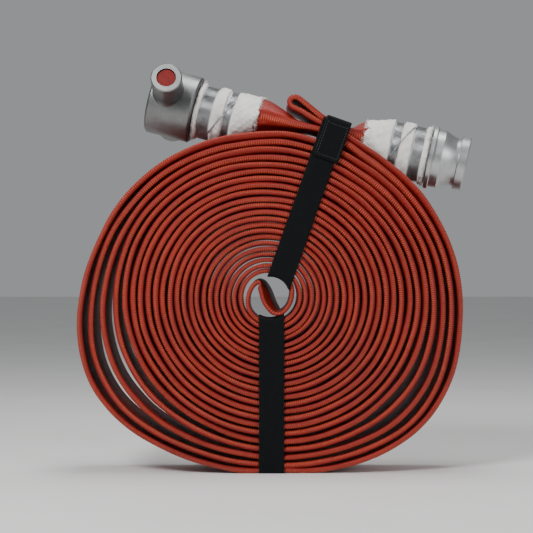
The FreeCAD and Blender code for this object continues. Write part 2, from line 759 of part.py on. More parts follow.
def make_hose():
    hose = flat_hose()
    for place, kind, cone in ((female_place, "female", FEMALE_CONE), (male_place, "male", MALE_CONE)):
        hose = hose.fuse([hose_end(place, kind, cone)])
        depth = size(f"{kind}_tail") + size("hose_end_gap")
        hose = hose.cut(along_axis(place, size("hose_bore_radius"), 0.0, depth))
    reach = 2 * size("roll_height")
    below = Part.makeBox(reach, reach, reach, Vector(-reach / 2, -reach / 2, -reach))
    channel_width = size("webbing_width") + 2 * size("strap_gap")
    channel = Part.makeBox(channel_width, reach, size("webbing_thickness") + 0.4,
                           Vector(size("lower_strap_offset") - channel_width / 2, -reach / 2, 0))
    hose = hose.cut([below, channel])
    feature = doc.addObject("Part::Feature", "hose")
    feature.Shape = hose.Solids[0] if len(hose.Solids) == 1 else hose
    return feature


# --- the binding cloth -----------------------------------------------------------------------

def make_binding_cloth(kind, place):
    """The cloth over a hose end: a ring with two grooves for the wire, then an oval sleeve."""
    inner = size("hose_outer_radius") + size("cloth_gap")
    full = size(f"{kind}_cloth_radius")
    groove = size(f"{kind}_groove_radius")
    start = size(f"{kind}_cloth_start")
    end = size(f"{kind}_round_end")
    edge = size("cloth_bevel")
    profile = [(inner, start), (full - edge, start), (full, start + edge)]
    for number in ("one", "two"):
        top = size(f"{kind}_band_{number}")
        bottom = size(f"{kind}_band_{number}_end")
        profile += [(full, top - edge), (full - edge, top), (groove, top)]
        profile += [(groove, bottom), (full - edge, bottom), (full, bottom + edge)]
    profile += [(full, end), (inner, end)]
    corners = [Vector(radius, 0, -back) for radius, back in profile]
    outline = Part.makePolygon(corners + corners[:1])
    ring = Part.Face(outline).revolve(Vector(0, 0, 0), Vector(0, 0, 1), 360)
    ring.Placement = place
    backs = (end - size("sleeve_lap"), size(f"{kind}_cloth_end"))
    inside = Part.makeLoft([end_section(place, kind, back, size("sleeve_gap")) for back in backs], True, True)
    heights = (full - inner - size("sleeve_step"), size("sleeve_thickness"))
    outer = [end_section(place, kind, back, height) for back, height in zip(backs, heights)]
    sleeve = Part.makeLoft(outer, True, True).cut(inside)
    cloth = ring.fuse(sleeve)
    feature = doc.addObject("Part::Feature", f"{kind}_binding_cloth")
    feature.Shape = cloth.Solids[0] if len(cloth.Solids) == 1 else cloth
    return feature


# --- the straps ------------------------------------------------------------------------------

def strap_box(label, low, high):
    """A box between two corners, each corner three lengths."""
    box = doc.addObject("Part::Box", label)
    bind(box, Length=as_length(high[0]) - low[0], Width=as_length(high[1]) - low[1],
         Height=as_length(high[2]) - low[2])
    bind(box, **{"Placement.Base.x": low[0], "Placement.Base.y": low[1], "Placement.Base.z": low[2]})
    return box


def strap_band(label, radius, low, high, depth):
    """Webbing bent along an arc about Y, between two places across the strap."""
    first = math.degrees(math.acos(high.value / radius.value))
    last = math.degrees(math.acos(low.value / radius.value))
    spin = math.radians(first)
    turned = FreeCAD.Rotation(Vector(math.cos(spin), 0, math.sin(spin)),
                              Vector(-math.sin(spin), 0, math.cos(spin)), Vector(0, -1, 0), "ZYX")
    tubes = []
    for name, reach in (("outer", radius + cell("webbing_thickness")), ("inner", radius)):
        tube = doc.addObject("Part::Cylinder", f"{label}_{name}")
        bind(tube, Radius=reach, Height=depth * 2)
        tube.Angle = last - first
        tube.Placement = FreeCAD.Placement(Vector(0, depth.value, 0), turned)
        tubes.append(tube)
    band = doc.addObject("Part::Cut", label)
    band.Base, band.Tool = tubes
    return band


def make_strap(label, lean, offset, reach, inner, overlap_side, overlap_top, overlap_length, shift):
    """A closed loop of webbing through the centre of the roll and round one side of it, with
    a second layer where its ends overlap, held by a hook pad.  Its own Z points from the
    centre of the roll to where the strap passes over the hose."""
    thick = cell("webbing_thickness")
    inside = cell("hose_width") * 0.5 + cell("strap_gap")
    outside = inside + thick
    low = offset - cell("webbing_width") * 0.5
    high = offset + cell("webbing_width") * 0.5
    foot = inner * size("strap_foot_share")
    pad = cell("pad_thickness")
    if overlap_side < 0:
        near, mid, far = -(outside + pad + thick), -(outside + pad), -outside
    else:
        near, mid, far = outside, outside + pad, outside + pad + thick
    layer = (near, mid) if overlap_side < 0 else (mid, far)
    bottom = overlap_top - overlap_length
    pieces = [
        strap_box(f"{label}_front", (low, -outside, foot), (high, -inside, reach)),
        strap_box(f"{label}_back", (low, inside, foot), (high, outside, reach)),
        strap_box(f"{label}_over", (low, -outside, reach - thick), (high, outside, reach)),
        strap_band(f"{label}_through", inner, low, high, outside),
        strap_box(f"{label}_layer", (low + shift, layer[0], bottom), (high + shift, layer[1], overlap_top)),
        strap_box(f"{label}_fold", (low + shift, near, overlap_top - thick), (high + shift, far, overlap_top)),
    ]
    strap = doc.addObject("Part::MultiFuse", label)
    strap.Shapes = pieces
    strap.Refine = True
    place = FreeCAD.Placement(Vector(0, 0, size("roll_height")), FreeCAD.Rotation(Vector(0, 1, 0), lean))
    strap.Placement = place
    pad_layer = (mid, far) if overlap_side < 0 else (near, mid)
    pad_low = offset + shift * 0.5 - cell("pad_width") * 0.5
    hooks = doc.addObject("Part::Box", f"{label}_hook_pad")
    bind(hooks, Length=cell("pad_width"), Width=pad, Height=cell("pad_length"))
    corner = Vector(pad_low.value, pad_layer[0].value, bottom.value + size("pad_inset"))
    hooks.Placement = place.multiply(FreeCAD.Placement(corner, FreeCAD.Rotation()))


def make_straps():
    make_strap("strap_upper", size("upper_strap_lean"), cell("upper_strap_offset"), cell("upper_strap_reach"),
               cell("upper_strap_inner"), -1, cell("upper_strap_reach"), cell("upper_overlap"),
               cell("upper_overlap_shift"))
    make_strap("strap_lower", 180.0, -cell("lower_strap_offset"), cell("roll_height"),
               cell("lower_strap_inner"), 1, cell("roll_height") - cell("lower_overlap_drop"),
               cell("lower_overlap"), as_length(0.0))


# --- build, check and write ------------------------------------------------------------------

def build_all():
    make_female_body()
    make_male_body()
    make_sealing_washer()
    for end, side in (("front", 1), ("rear", -1)):
        make_latch(end, side)
        make_spring(end, side)
    make_binding_wire("female", female_place)
    make_binding_wire("male", male_place)
    make_binding_cloth("female", female_place)
    make_binding_cloth("male", male_place)
    make_straps()
    make_hose()
    doc.recompute()


NODES = [
    "hose", "strap_upper", "strap_upper_hook_pad", "strap_lower", "strap_lower_hook_pad",
    "female_body", "sealing_washer", "latch_plunger_front", "latch_plunger_rear",
    "plunger_spring_front", "plunger_spring_rear", "plunger_gland_front", "plunger_gland_rear",
    "release_head_front", "release_head_rear", "female_binding_cloth", "female_binding_wire",
    "male_body", "male_binding_cloth", "male_binding_wire",
]


def check_and_write():
    for thing in doc.Objects:
        if "Invalid" in thing.State or "Error" in thing.State:
            raise RuntimeError(f"{thing.Name} did not recompute: {thing.State}")
    pieces = {thing.Label: thing for thing in doc.Objects}
    for node in NODES:
        shape = pieces[node].Shape
        if shape.isNull() or not shape.isValid() or not shape.Solids:
            raise RuntimeError(f"{node} has no valid shape")
    os.makedirs("parts", exist_ok=True)
    for node in NODES:
        shape = pieces[node].Shape
        shape.exportStep(f"parts/{node}.step")
        box = shape.BoundBox
        print(f"{node}: {len(shape.Solids)} solid(s), {shape.Volume / 1000:.1f} cm3, "
              f"x {box.XMin:.1f} {box.XMax:.1f} y {box.YMin:.1f} {box.YMax:.1f} z {box.ZMin:.1f} {box.ZMax:.1f}")


build_all()
check_and_write()
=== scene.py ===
import math
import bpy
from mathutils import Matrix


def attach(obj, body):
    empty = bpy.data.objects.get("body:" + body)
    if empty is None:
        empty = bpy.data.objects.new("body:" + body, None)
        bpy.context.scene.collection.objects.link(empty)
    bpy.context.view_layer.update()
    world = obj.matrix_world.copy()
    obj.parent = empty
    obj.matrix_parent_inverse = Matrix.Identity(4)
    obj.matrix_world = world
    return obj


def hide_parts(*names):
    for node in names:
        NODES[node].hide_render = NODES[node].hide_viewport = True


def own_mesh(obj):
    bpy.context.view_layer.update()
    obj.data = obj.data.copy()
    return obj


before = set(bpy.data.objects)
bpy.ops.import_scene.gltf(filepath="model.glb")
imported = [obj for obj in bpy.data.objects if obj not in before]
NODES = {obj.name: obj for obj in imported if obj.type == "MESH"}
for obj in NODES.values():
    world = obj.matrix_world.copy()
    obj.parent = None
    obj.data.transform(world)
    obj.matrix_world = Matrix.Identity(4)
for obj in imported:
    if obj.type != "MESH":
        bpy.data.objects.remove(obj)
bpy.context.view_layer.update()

from types import SimpleNamespace

import bpy
import numpy as np
from mathutils import Vector

# Looks of a rolled fire hose.  Everything is in metres, in the frame of the imported model:
# X to the right, Y to the back, Z up, the floor at Z = 0.  The metal pieces, the washer, the
# red heads and the hook pads are the imported nodes with new materials.  The hose, straps,
# cloths and wires are meshes built here from sizes in millimetres, and the springs are copies
# of the imported ones.

MM = 0.001
ROOT = "roll"
UP = np.array([0.0, 0.0, 1.0])
BACK = np.array([0.0, 1.0, 0.0])

# --- driving sizes, in millimetres and degrees unless a comment says otherwise ---

HOSE_WIDTH = 112.0
HOSE_HALF = HOSE_WIDTH / 2
HOSE_MIDDLE = 4.9  # thickness of the flat hose away from its folds
HOSE_RADIUS = 37.0  # outer radius of the hose where it is round
HOSE_COLUMNS = 76  # points round the hose
HOSE_STEP = 2.6  # distance between sections in the middle of the roll
HOSE_STEP_MORE = 4.6  # how much wider the sections stand on the outer turns
FOLD_RADIUS = 3.3  # half thickness of the folds on the inner turns
FOLD_GROWTH = 0.85  # how much fuller the folds are on the outer turns
FOLD_REACH = 19.0  # distance from the edge where the hose starts to thicken
FOLD_CREASE = 0.35  # depth of the crease beside each fold

HUB_HEIGHT = 265.0  # the middle of the roll above the floor
HUB = HUB_HEIGHT * UP
COIL_START = 33.0  # radius of the spiral at turn zero
COIL_PITCH = 16.37  # growth of the radius with the turns
COIL_LOOSENING = 0.372  # growth of the radius with the square of the turns
CORE_TURNS = 0.34  # turn number where the S in the centre goes over into the spiral
OFF_COIL = 12.5  # turn number given to the parts that have left the coil
COILED = (0.4, 12.2)  # turn numbers between which a point is on the coil
ARM_TURNS = {"male": 11.825, "female": 11.325}  # where each arm leaves the coil
ARM_STARTS = {"male": 120.0, "female": -60.0}  # direction of each arm at turn zero
FLOOR_LINE = 4.0  # lowest height of the middle line of the hose

# Height of each wave of the radius for each turn, waves round the roll and their phase.
ROLL_WAVES = [(0.33, 1, 57.0), (0.71, 2, 15.0)]

# Direction, width and height of a bulge or sag, and the turns where it starts and is full.
LOOSE_BULGES = [(207.0, 32.0, 32.0, 9.2, 11.2), (322.0, 25.0, 17.0, 9.2, 11.2)]
COUPLING_SAGS = [(48.0, 22.0, -26.0, 6.0, 11.0), (104.0, 24.0, -19.5, 6.5, 11.0)]

# Guide places between the coil and each coupling: x, z and how round the hose is there.
MALE_LEAD = [(130.6, 510.2, 0.40), (114.6, 515.4, 0.17), (101.6, 521.6, 0.07), (89.6, 528.2, 0.02),
             (79.1, 535.0, 0.0), (57.6, 552.6, 0.0), (47.6, 560.6, 0.0), (40.1, 565.4, 0.0),
             (33.6, 565.0, 0.0), (29.8, 560.6, 0.0), (30.2, 555.0, 0.0), (35.1, 550.6, 0.0),
             (43.6, 546.6, 0.0), (59.6, 535.4, 0.0), (74.6, 523.6, 0.0), (97.6, 505.6, 0.0)]
FEMALE_LEAD = [(98.4, 493.6, 0.02), (83.4, 505.4, 0.02), (70.7, 513.6, 0.02), (58.4, 518.4, 0.02),
               (44.8, 523.1, 0.19), (21.7, 531.1, 0.40)]

# Half of the S in the centre of the roll, from its middle outward, measured from the hub.
CORE_LEAD = [(0.0, 0.0), (-10.6, 20.0), (-15.2, 23.4), (-22.0, 20.4), (-29.4, 10.5), (-33.0, -2.0),
             (-30.8, -20.4)]

# Smooth unevenness along the hose: height, length and seed of each part.
FOLD_UNEVEN = [(0.22, 60.0, 3)]
SIDEWAYS_WANDER = [(1.1, 210.0, 21), (0.5, 45.0, 22)]
EDGE_LAP = [(0.55, 130.0, 31)]
STRAND_TILT = [(0.5, 170.0, 32)]

# Each coupling: where its rim is, how its axis lies, and the sizes of its binding, measured
# back from the rim along the axis.  crossing holds the angles round the axis where the wire
# leaves its first band and where it meets the second.
FEMALE = {
    "origin": (-113.0, 8.4, 551.2), "slope": 14.8, "yaw": 5.0, "outward": -1,
    "tail": 63.0, "cloth_end": 96.0, "oval_width": 84.0, "oval_height": 55.0, "oval_lift": 14.0,
    "cloth_start": 0.8, "cloth_radius": 43.4, "groove_radius": 39.2,
    "bands": [(9.0, 30.0), (47.0, 60.0)], "crossing": (-48.0, 36.0),
}
MALE = {
    "origin": (243.4, -10.3, 478.7), "slope": 12.5, "yaw": 6.0, "outward": 1,
    "tail": 62.5, "cloth_end": 100.0, "oval_width": 88.0, "oval_height": 48.0, "oval_lift": 8.5,
    "cloth_start": 0.8, "cloth_radius": 44.6, "groove_radius": 40.4,
    "bands": [(10.7, 27.7), (45.7, 60.0)], "crossing": (118.0, 203.0),
}
HOSE_END = 4.0  # distance behind the rim where the hose ends
END_GUIDE = 30.0  # distance behind the rim of a guide place inside the cloth
TAIL_MARGIN = 2.0  # how far before the end of the tail the hose starts to flatten

CLOTH_COLUMNS = 180
CLOTH_STEP = 1.1  # distance between rows of points along the cloth
CLOTH_LINING = 0.25  # gap between the hose and the inside of the cloth
CLOTH_HEM = 2.2  # length over which an edge of the cloth thins out
CLOTH_LOOSE = 14.0  # length of the end that stands loose
CLOTH_TAPER = 2.6  # height of the cloth at that end
FRINGE_RADIUS = 0.36
FRINGE_SIDES = 4
WIRE_RADIUS = 0.82
WIRE_SIDES = 8
WIRE_GAP = 0.03  # between two turns of wire
WIRE_SEAT = 0.05  # play between the wire and the cloth under it
WIRE_OVER_CLOTH = 0.7  # the same where it crosses the creased cloth

# Waves round the cloth: height, count, slope along it and share of the seed in the phase.
CLOTH_CREASES = [(0.45, 9, 0.16, 1), (0.3, 17, -0.33, 2), (0.35, 4, 0.55, 0)]
HEM_WAVES = [(2.0, 3, 0.0, 1), (1.3, 7, 0.0, 2), (0.7, 19, 0.0, 0)]

STRAP_WIDTH = 38.0
STRAP_THICK = 2.0
STRAP_COLUMNS = 19  # points across one face of a strap
STRAP_STEP = 2.5  # distance between rows of points along a strap
STRAP_FACE = HOSE_HALF + 1.0 + STRAP_THICK / 2  # middle of the webbing beside the roll
STRAP_OUTER_FACE = STRAP_FACE + STRAP_THICK + 1.0  # the same for the outer layer of an overlap

# Each strap: how its path leans from straight up, how far it passes beside the hub, the radii
# where it turns in the centre and outside the roll, and the length and shift of its overlap.
UPPER_STRAP = {
    "lean": 19.5, "offset": 5.0, "inner": 30.2, "top": 287.3, "seed": 41,
    "last_end_outer": True, "overlap": 62.0, "shift": 5.0,
}
LOWER_STRAP = {
    "lean": 180.0, "offset": -2.3, "inner": 33.2, "top": HUB_HEIGHT, "seed": 43,
    "last_end_outer": False, "overlap": 66.0, "shift": 0.0,
}

STITCH_RADIUS = 0.42
STITCH_SIDES = 6
STITCH_LENGTH = 3.1
STITCH_PITCH = 4.4
STITCH_ENDS = (5.0, 8.0)  # margins of the stitching at the end and at the start of an overlap
STITCH_LIFT = 0.12  # how far the thread lies above the webbing


# --- small helpers ---

def unit(vectors):
    vectors = np.asarray(vectors, float)
    return vectors / np.linalg.norm(vectors, axis=-1, keepdims=True)


def bell(angle, width):
    """1 at angle zero, falling off smoothly on both sides."""
    off = (angle + 180.0) % 360.0 - 180.0
    return np.exp(-(off / width) ** 2)


def ramp(value, low, high):
    """0 below low, 1 above high and smooth between them."""
    part = np.clip((value - low) / (high - low), 0.0, 1.0)
    return part * part * (3.0 - 2.0 * part)


def waves(x, seed):
    """Smooth made-up variation between about -1 and 1, the same on every run."""
    local = np.random.default_rng(seed)
    terms = 5
    total = np.zeros_like(np.asarray(x, float))
    for term in range(terms):
        pace = local.uniform(0.6, 2.6) * (1.0 + 0.6 * term)
        total += np.sin(x * pace + local.uniform(0, 6.28))
    return total / terms ** 0.5 / 1.2


def uneven(travel, parts):
    """Sum of smooth variations along a piece; each part is its height, length and seed."""
    return sum(height * waves(travel / length, seed) for height, length, seed in parts)


def travel_along(points):
    """Distance travelled from the first point to each point."""
    return np.concatenate([[0.0], np.cumsum(np.linalg.norm(np.diff(points, axis=0), axis=1))])


def make_mesh(name, points, faces, material, smooth=True, uv=None):
    """points in millimetres; uv, when given, holds one pair for each corner of each face."""
    mesh = bpy.data.meshes.new(name)
    mesh.from_pydata([tuple(p) for p in np.asarray(points) * MM], [], faces)
    mesh.validate()
    if uv is not None:
        layer = mesh.uv_layers.new(name="lay")
        layer.data.foreach_set("uv", np.asarray(uv, np.float32).ravel())
    mesh.polygons.foreach_set("use_smooth", [smooth] * len(mesh.polygons))
    mesh.materials.append(material)
    obj = bpy.data.objects.new(name, mesh)
    bpy.context.scene.collection.objects.link(obj)
    return obj


def grid_faces(rows, columns, closed_rows=False, flip=False):
    """Quads of a grid whose columns wrap round; rows wrap too when closed_rows is set."""
    faces = []
    last = rows if closed_rows else rows - 1
    for i in range(last):
        k = (i + 1) % rows
        for j in range(columns):
            m = (j + 1) % columns
            quad = (i * columns + j, i * columns + m, k * columns + m, k * columns + j)
            faces.append(quad[::-1] if flip else quad)
    return faces


def grid_uv(faces, u, v, columns, v_total):
    """UV corners for grid_faces: u per row, v per column, with the seam closed by v_total."""
    uv = []
    for face in faces:
        seam = any(c % columns == columns - 1 for c in face) and any(c % columns == 0 for c in face)
        for corner in face:
            row, column = divmod(corner, columns)
            across = v_total if seam and column == 0 else v[column]
            uv.append((u[row], across))
    return uv


def close_ends(faces, uv, rows, columns, flip=False):
    """Adds a face over each end of a swept grid, turned the same way as its other faces."""
    first = tuple(range(columns))
    last = tuple((rows - 1) * columns + j for j in range(columns))
    faces += [first, last[::-1]] if flip else [first[::-1], last]
    uv += [(0.0, 0.0)] * (2 * columns)


def stand_for(obj, node):
    """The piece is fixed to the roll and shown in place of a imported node."""
    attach(obj, ROOT)
    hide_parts(node)


def spline(guide, steps):
    """Points on a smooth curve through the guide points, about as far apart as steps says at
    each guide point, with the value of the guide's own index at each of them."""
    guide = np.asarray(guide, float)
    chord = np.linalg.norm(np.diff(guide, axis=0), axis=1)
    knots = travel_along(guide)
    number = len(guide)
    matrix = np.zeros((number, number))
    right_side = np.zeros((number, guide.shape[1]))
    matrix[0, 0] = 1.0
    matrix[-1, -1] = 1.0
    for i in range(1, number - 1):
        before = chord[i - 1]
        after = chord[i]
        matrix[i, i - 1:i + 2] = (before, 2.0 * (before + after), after)
        right_side[i] = 6.0 * ((guide[i + 1] - guide[i]) / after - (guide[i] - guide[i - 1]) / before)
    bend = np.linalg.solve(matrix, right_side)
    fine = np.linspace(0.0, knots[-1], 60000)
    count = np.concatenate([[0.0], np.cumsum(np.diff(fine) / np.interp(fine[1:], knots, steps))])
    places = np.interp(np.linspace(0.0, count[-1], int(count[-1]) + 1), count, fine)
    i = np.clip(np.searchsorted(knots, places, side="right") - 1, 0, number - 2)
    left = (knots[i + 1] - places)[:, None]
    right = (places - knots[i])[:, None]
    width = chord[i][:, None]
    points = (bend[i] * left ** 3 + bend[i + 1] * right ** 3) / (6.0 * width)
    points += (guide[i] / width - bend[i] * width / 6.0) * left
    points += (guide[i + 1] / width - bend[i + 1] * width / 6.0) * right
    return points, i + (places - knots[i]) / chord[i]


# --- where the couplings lie ---

def axes_of(coupling):
    """Origin, sideways, upward and outward directions of a coupling."""
    fall = math.radians(coupling["slope"])
    swing = math.radians(coupling["yaw"])
    along = np.array([math.cos(fall) * math.cos(swing), -math.sin(swing), -math.sin(fall) * math.cos(swing)])
    axis = along * coupling["outward"]
    level = unit(np.cross(UP, axis))
    upward = np.cross(axis, level)
    return np.array(coupling["origin"]), level, upward, axis


def end_section(coupling, back, angles, grow):
    """Points of the section of a hose end at a distance behind the rim; angles start level."""
    origin, level, upward, axis = axes_of(coupling)
    part = max(0.0, (back - coupling["tail"]) / (coupling["cloth_end"] - coupling["tail"]))
    half_width = HOSE_RADIUS + (coupling["oval_width"] / 2 - HOSE_RADIUS) * part
    half_height = HOSE_RADIUS + (coupling["oval_height"] / 2 - HOSE_RADIUS) * part
    centre = origin - axis * back + upward * coupling["oval_lift"] * part
    across = np.cos(angles)[:, None] * level * (half_width + np.asarray(grow)[:, None])
    rise = np.sin(angles)[:, None] * upward * (half_height + np.asarray(grow)[:, None])
    return centre + across + rise


# --- materials ---

BLACK = (0.0, 0.0, 0.0)
WHITE = (1.0, 1.0, 1.0)


class Nodes:
    """Short way to build a node material.  A term is a socket, a number or a colour."""

    def __init__(self, name):
        self.material = bpy.data.materials.new(name)
        self.material.use_nodes = True
        self.tree = self.material.node_tree
        self.tree.nodes.clear()
        self.shader = self.add("ShaderNodeBsdfPrincipled")
        self.put(self.add("ShaderNodeOutputMaterial").inputs[0], self.shader.outputs[0])

    def add(self, kind, **settings):
        node = self.tree.nodes.new(kind)
        for key, value in settings.items():
            setattr(node, key, value)
        return node

    def put(self, socket, term):
        """Gives an input a number or a colour, or links another socket to it."""
        if isinstance(term, (int, float)):
            socket.default_value = term
        elif isinstance(term, tuple):
            socket.default_value = (*term, 1.0)
        else:
            self.tree.links.new(term, socket)

    def math(self, operation, first, second=None, clamp=False):
        node = self.add("ShaderNodeMath", operation=operation, use_clamp=clamp)
        self.put(node.inputs[0], first)
        if second is not None:
            self.put(node.inputs[1], second)
        return node.outputs[0]

    def times(self, first, second):
        return self.math("MULTIPLY", first, second)

    def plus(self, first, second):
        return self.math("ADD", first, second)

    def stripes(self, distance, spacing):
        """Rounded stripes across a distance, from 0 between them to 1 on their crests."""
        return self.math("ABSOLUTE", self.math("SINE", self.times(distance, math.pi / spacing)))

    def noise(self, vector, scale, detail=4.0, roughness=0.55):
        node = self.add("ShaderNodeTexNoise")
        self.put(node.inputs["Scale"], scale)
        self.put(node.inputs["Detail"], detail)
        self.put(node.inputs["Roughness"], roughness)
        self.put(node.inputs["Vector"], vector)
        return node.outputs[0]

    def ramp(self, factor, stops):
        node = self.add("ShaderNodeValToRGB")
        elements = node.color_ramp.elements
        while len(elements) < len(stops):
            elements.new(0.5)
        for element, (place, color) in zip(elements, stops):
            element.position = place
            element.color = (*color, 1.0)
        self.put(node.inputs[0], factor)
        return node.outputs[0]

    def patches(self, factor, low, high, share):
        """share where factor is above high, nothing where it is below low."""
        return self.times(self.ramp(factor, [(low, BLACK), (high, WHITE)]), share)

    def mix(self, factor, first, second):
        node = self.add("ShaderNodeMix", data_type="RGBA")
        for index, term in ((0, factor), (6, first), (7, second)):
            self.put(node.inputs[index], term)
        return node.outputs[2]

    def bump(self, height, strength, distance, under=None):
        node = self.add("ShaderNodeBump")
        self.put(node.inputs["Strength"], strength)
        self.put(node.inputs["Distance"], distance)
        self.put(node.inputs["Height"], height)
        if under is not None:
            self.put(node.inputs["Normal"], under)
        return node.outputs[0]

    def feed(self, **terms):
        """Sets the shader's inputs, named with _ for each space, and gives the material."""
        for name, term in terms.items():
            self.put(self.shader.inputs[name.replace("_", " ")], term)
        return self.material

    def coordinates(self, kind="Object"):
        return self.add("ShaderNodeTexCoord").outputs[kind]

    def split(self, vector):
        node = self.add("ShaderNodeSeparateXYZ")
        self.put(node.inputs[0], vector)
        return node.outputs

    def combine(self, *parts):
        node = self.add("ShaderNodeCombineXYZ")
        for socket, term in zip(node.inputs, parts):
            self.put(socket, term)
        return node.outputs[0]

    def along(self, vector, origin, direction):
        """Distance of a place from a point, measured along a direction."""
        node = self.add("ShaderNodeVectorMath", operation="DOT_PRODUCT")
        self.put(node.inputs[0], vector)
        node.inputs[1].default_value = direction
        return self.math("SUBTRACT", node.outputs["Value"], float(np.dot(origin, direction)))


def hose_material():
    """Red rubber over a woven jacket: fine ribs along the hose and cords across it that stand up as a row of
    dots on its folded edges, worn patches and dust.
    The grooves between ribs and cords carry painted shade, the dots on the folds a painted highlight, and
    the spaces between those dots painted shade."""
    rib = 1.6 * MM
    pick = 3.3 * MM
    fold_spacing = 114.0 * MM
    fold_glow = 6.0 * MM
    # painted shade in the grooves of the weave
    groove_shade_red = (0.085, 0.003, 0.001)
    # painted shade between the cords near the folds
    gap_shade_red = (0.10, 0.003, 0.001)
    worn_red = (0.40, 0.040, 0.014)
    # painted highlight on the cords where they cross the folds
    fold_highlight_red = (0.74, 0.12, 0.055)
    m = Nodes("hose_rubber_ribbed")
    u, v, _ = m.split(m.coordinates("UV"))
    place = m.coordinates("Object")
    ribs = m.stripes(v, rib)
    picks = m.stripes(u, pick)
    dots = m.times(ribs, m.plus(m.times(picks, 0.7), 0.3))
    from_fold = m.math("PINGPONG", v, fold_spacing / 2)
    edge = m.math("SUBTRACT", 1.0, m.math("DIVIDE", from_fold, fold_glow), True)
    broad = m.noise(place, 9.0, 5.0)
    grime = m.noise(place, 38.0, 6.0, 0.62)
    fine = m.noise(place, 900.0, 2.0)
    base = m.ramp(broad, [(0.3, (0.19, 0.005, 0.001)), (0.55, (0.27, 0.008, 0.0018)),
                          (0.75, (0.35, 0.014, 0.0035))])
    worn = m.mix(m.patches(grime, 0.5, 0.72, 0.24), base, worn_red)
    # painted shade: the grooves between the ribs and cords are darkened
    groove_shaded = m.mix(m.times(m.math("SUBTRACT", 1.0, dots), 0.5), worn, groove_shade_red)
    # painted shade: near the folds the spaces between the cords are darkened
    gap_shade = m.times(m.times(edge, m.math("SUBTRACT", 1.0, picks)), 0.6)
    # painted highlight: near the folds the crest of each cord is lightened, by an amount that varies along
    # the hose
    highlight_mask = m.times(m.math("POWER", edge, 2.0), m.math("POWER", picks, 3.0))
    highlight_share = m.times(highlight_mask, m.plus(0.3, m.times(grime, 0.7)))
    color = m.mix(highlight_share, m.mix(gap_shade, groove_shaded, gap_shade_red), fold_highlight_red)
    height = m.plus(m.times(dots, 0.6), m.times(fine, 0.2))
    height = m.plus(height, m.times(m.times(picks, edge), 1.5))
    rough = m.plus(0.38, m.times(grime, 0.2))
    return m.feed(Base_Color=color, Roughness=rough, Normal=m.bump(height, 0.8, 0.5 * MM),
                  Specular_IOR_Level=0.34)


def webbing_material():
    """Black woven webbing with a little lint and painted shade between its threads."""
    warp_width = 1.25 * MM
    weft_width = 1.0 * MM
    # painted shade: the weave darkens from the crest of each thread towards the gaps between them
    weave_shade_stops = [(0.0, (0.001, 0.0012, 0.0014)), (0.7, (0.004, 0.005, 0.006)),
                     (1.0, (0.010, 0.012, 0.014))]
    m = Nodes("webbing_black")
    u, v, _ = m.split(m.coordinates("UV"))
    place = m.coordinates("Object")
    weft = m.times(u, math.pi / weft_width)
    phase = m.times(m.math("FLOOR", m.math("DIVIDE", v, warp_width)), math.pi / 2)
    crossing = m.math("ABSOLUTE", m.math("SINE", m.plus(weft, phase)))
    weave = m.times(m.stripes(v, warp_width), crossing)
    lint = m.noise(place, 260.0, 5.0, 0.7)
    broad = m.noise(place, 22.0, 4.0)
    dusty = m.mix(m.patches(lint, 0.56, 0.74, 0.22), m.ramp(weave, weave_shade_stops), (0.035, 0.04, 0.044))
    shade = m.mix(m.times(broad, 0.45), dusty, (0.004, 0.005, 0.006))
    normal = m.bump(m.plus(weave, m.times(lint, 0.3)), 0.8, 0.4 * MM)
    return m.feed(Base_Color=shade, Roughness=0.88, Normal=normal, Sheen_Weight=0.03, Sheen_Roughness=0.5,
                  Specular_IOR_Level=0.12)


def thread_material():
    """Black sewing thread."""
    m = Nodes("stitch_thread")
    grain = m.noise(m.coordinates(), 1500.0, 2.0)
    base = m.ramp(grain, [(0.3, (0.012, 0.013, 0.014)), (0.7, (0.05, 0.052, 0.055))])
    return m.feed(Base_Color=base, Roughness=0.7, Normal=m.bump(grain, 0.4, 0.1 * MM))


def cloth_material():
    """White plain-weave cloth, smudged, with painted shade between its threads."""
    thread = 0.9 * MM
    m = Nodes("binding_cloth_white")
    u, v, _ = m.split(m.coordinates("UV"))
    place = m.coordinates("Object")
    weave = m.times(m.stripes(v, thread), m.stripes(u, thread))
    soft = m.noise(place, 45.0, 5.0, 0.6)
    smudge = m.noise(place, 14.0, 6.0, 0.65)
    base = m.ramp(soft, [(0.25, (0.62, 0.60, 0.565)), (0.6, (0.80, 0.79, 0.765)),
                         (0.85, (0.87, 0.865, 0.85))])
    dirty = m.mix(m.patches(smudge, 0.52, 0.78, 0.38), base, (0.46, 0.41, 0.35))
    # painted shade: the gaps between the threads are darkened
    shade = m.mix(m.times(m.math("SUBTRACT", 1.0, weave), 0.2), dirty, (0.42, 0.4, 0.37))
    normal = m.bump(m.plus(weave, m.times(soft, 1.4)), 0.6, 0.35 * MM)
    return m.feed(Base_Color=shade, Roughness=0.93, Normal=normal, Sheen_Weight=0.35, Sheen_Roughness=0.5,
                  Specular_IOR_Level=0.2)


def wire_material():
    """Galvanised wire, cloudy."""
    m = Nodes("binding_wire_galvanised")
    place = m.coordinates()
    broad = m.noise(place, 60.0, 4.0)
    fine = m.noise(place, 700.0, 3.0)
    base = m.ramp(broad, [(0.3, (0.22, 0.23, 0.24)), (0.7, (0.48, 0.49, 0.5))])
    rough = m.plus(0.24, m.times(fine, 0.22))
    return m.feed(Base_Color=base, Metallic=1.0, Roughness=rough, Normal=m.bump(fine, 0.25, 0.05 * MM))


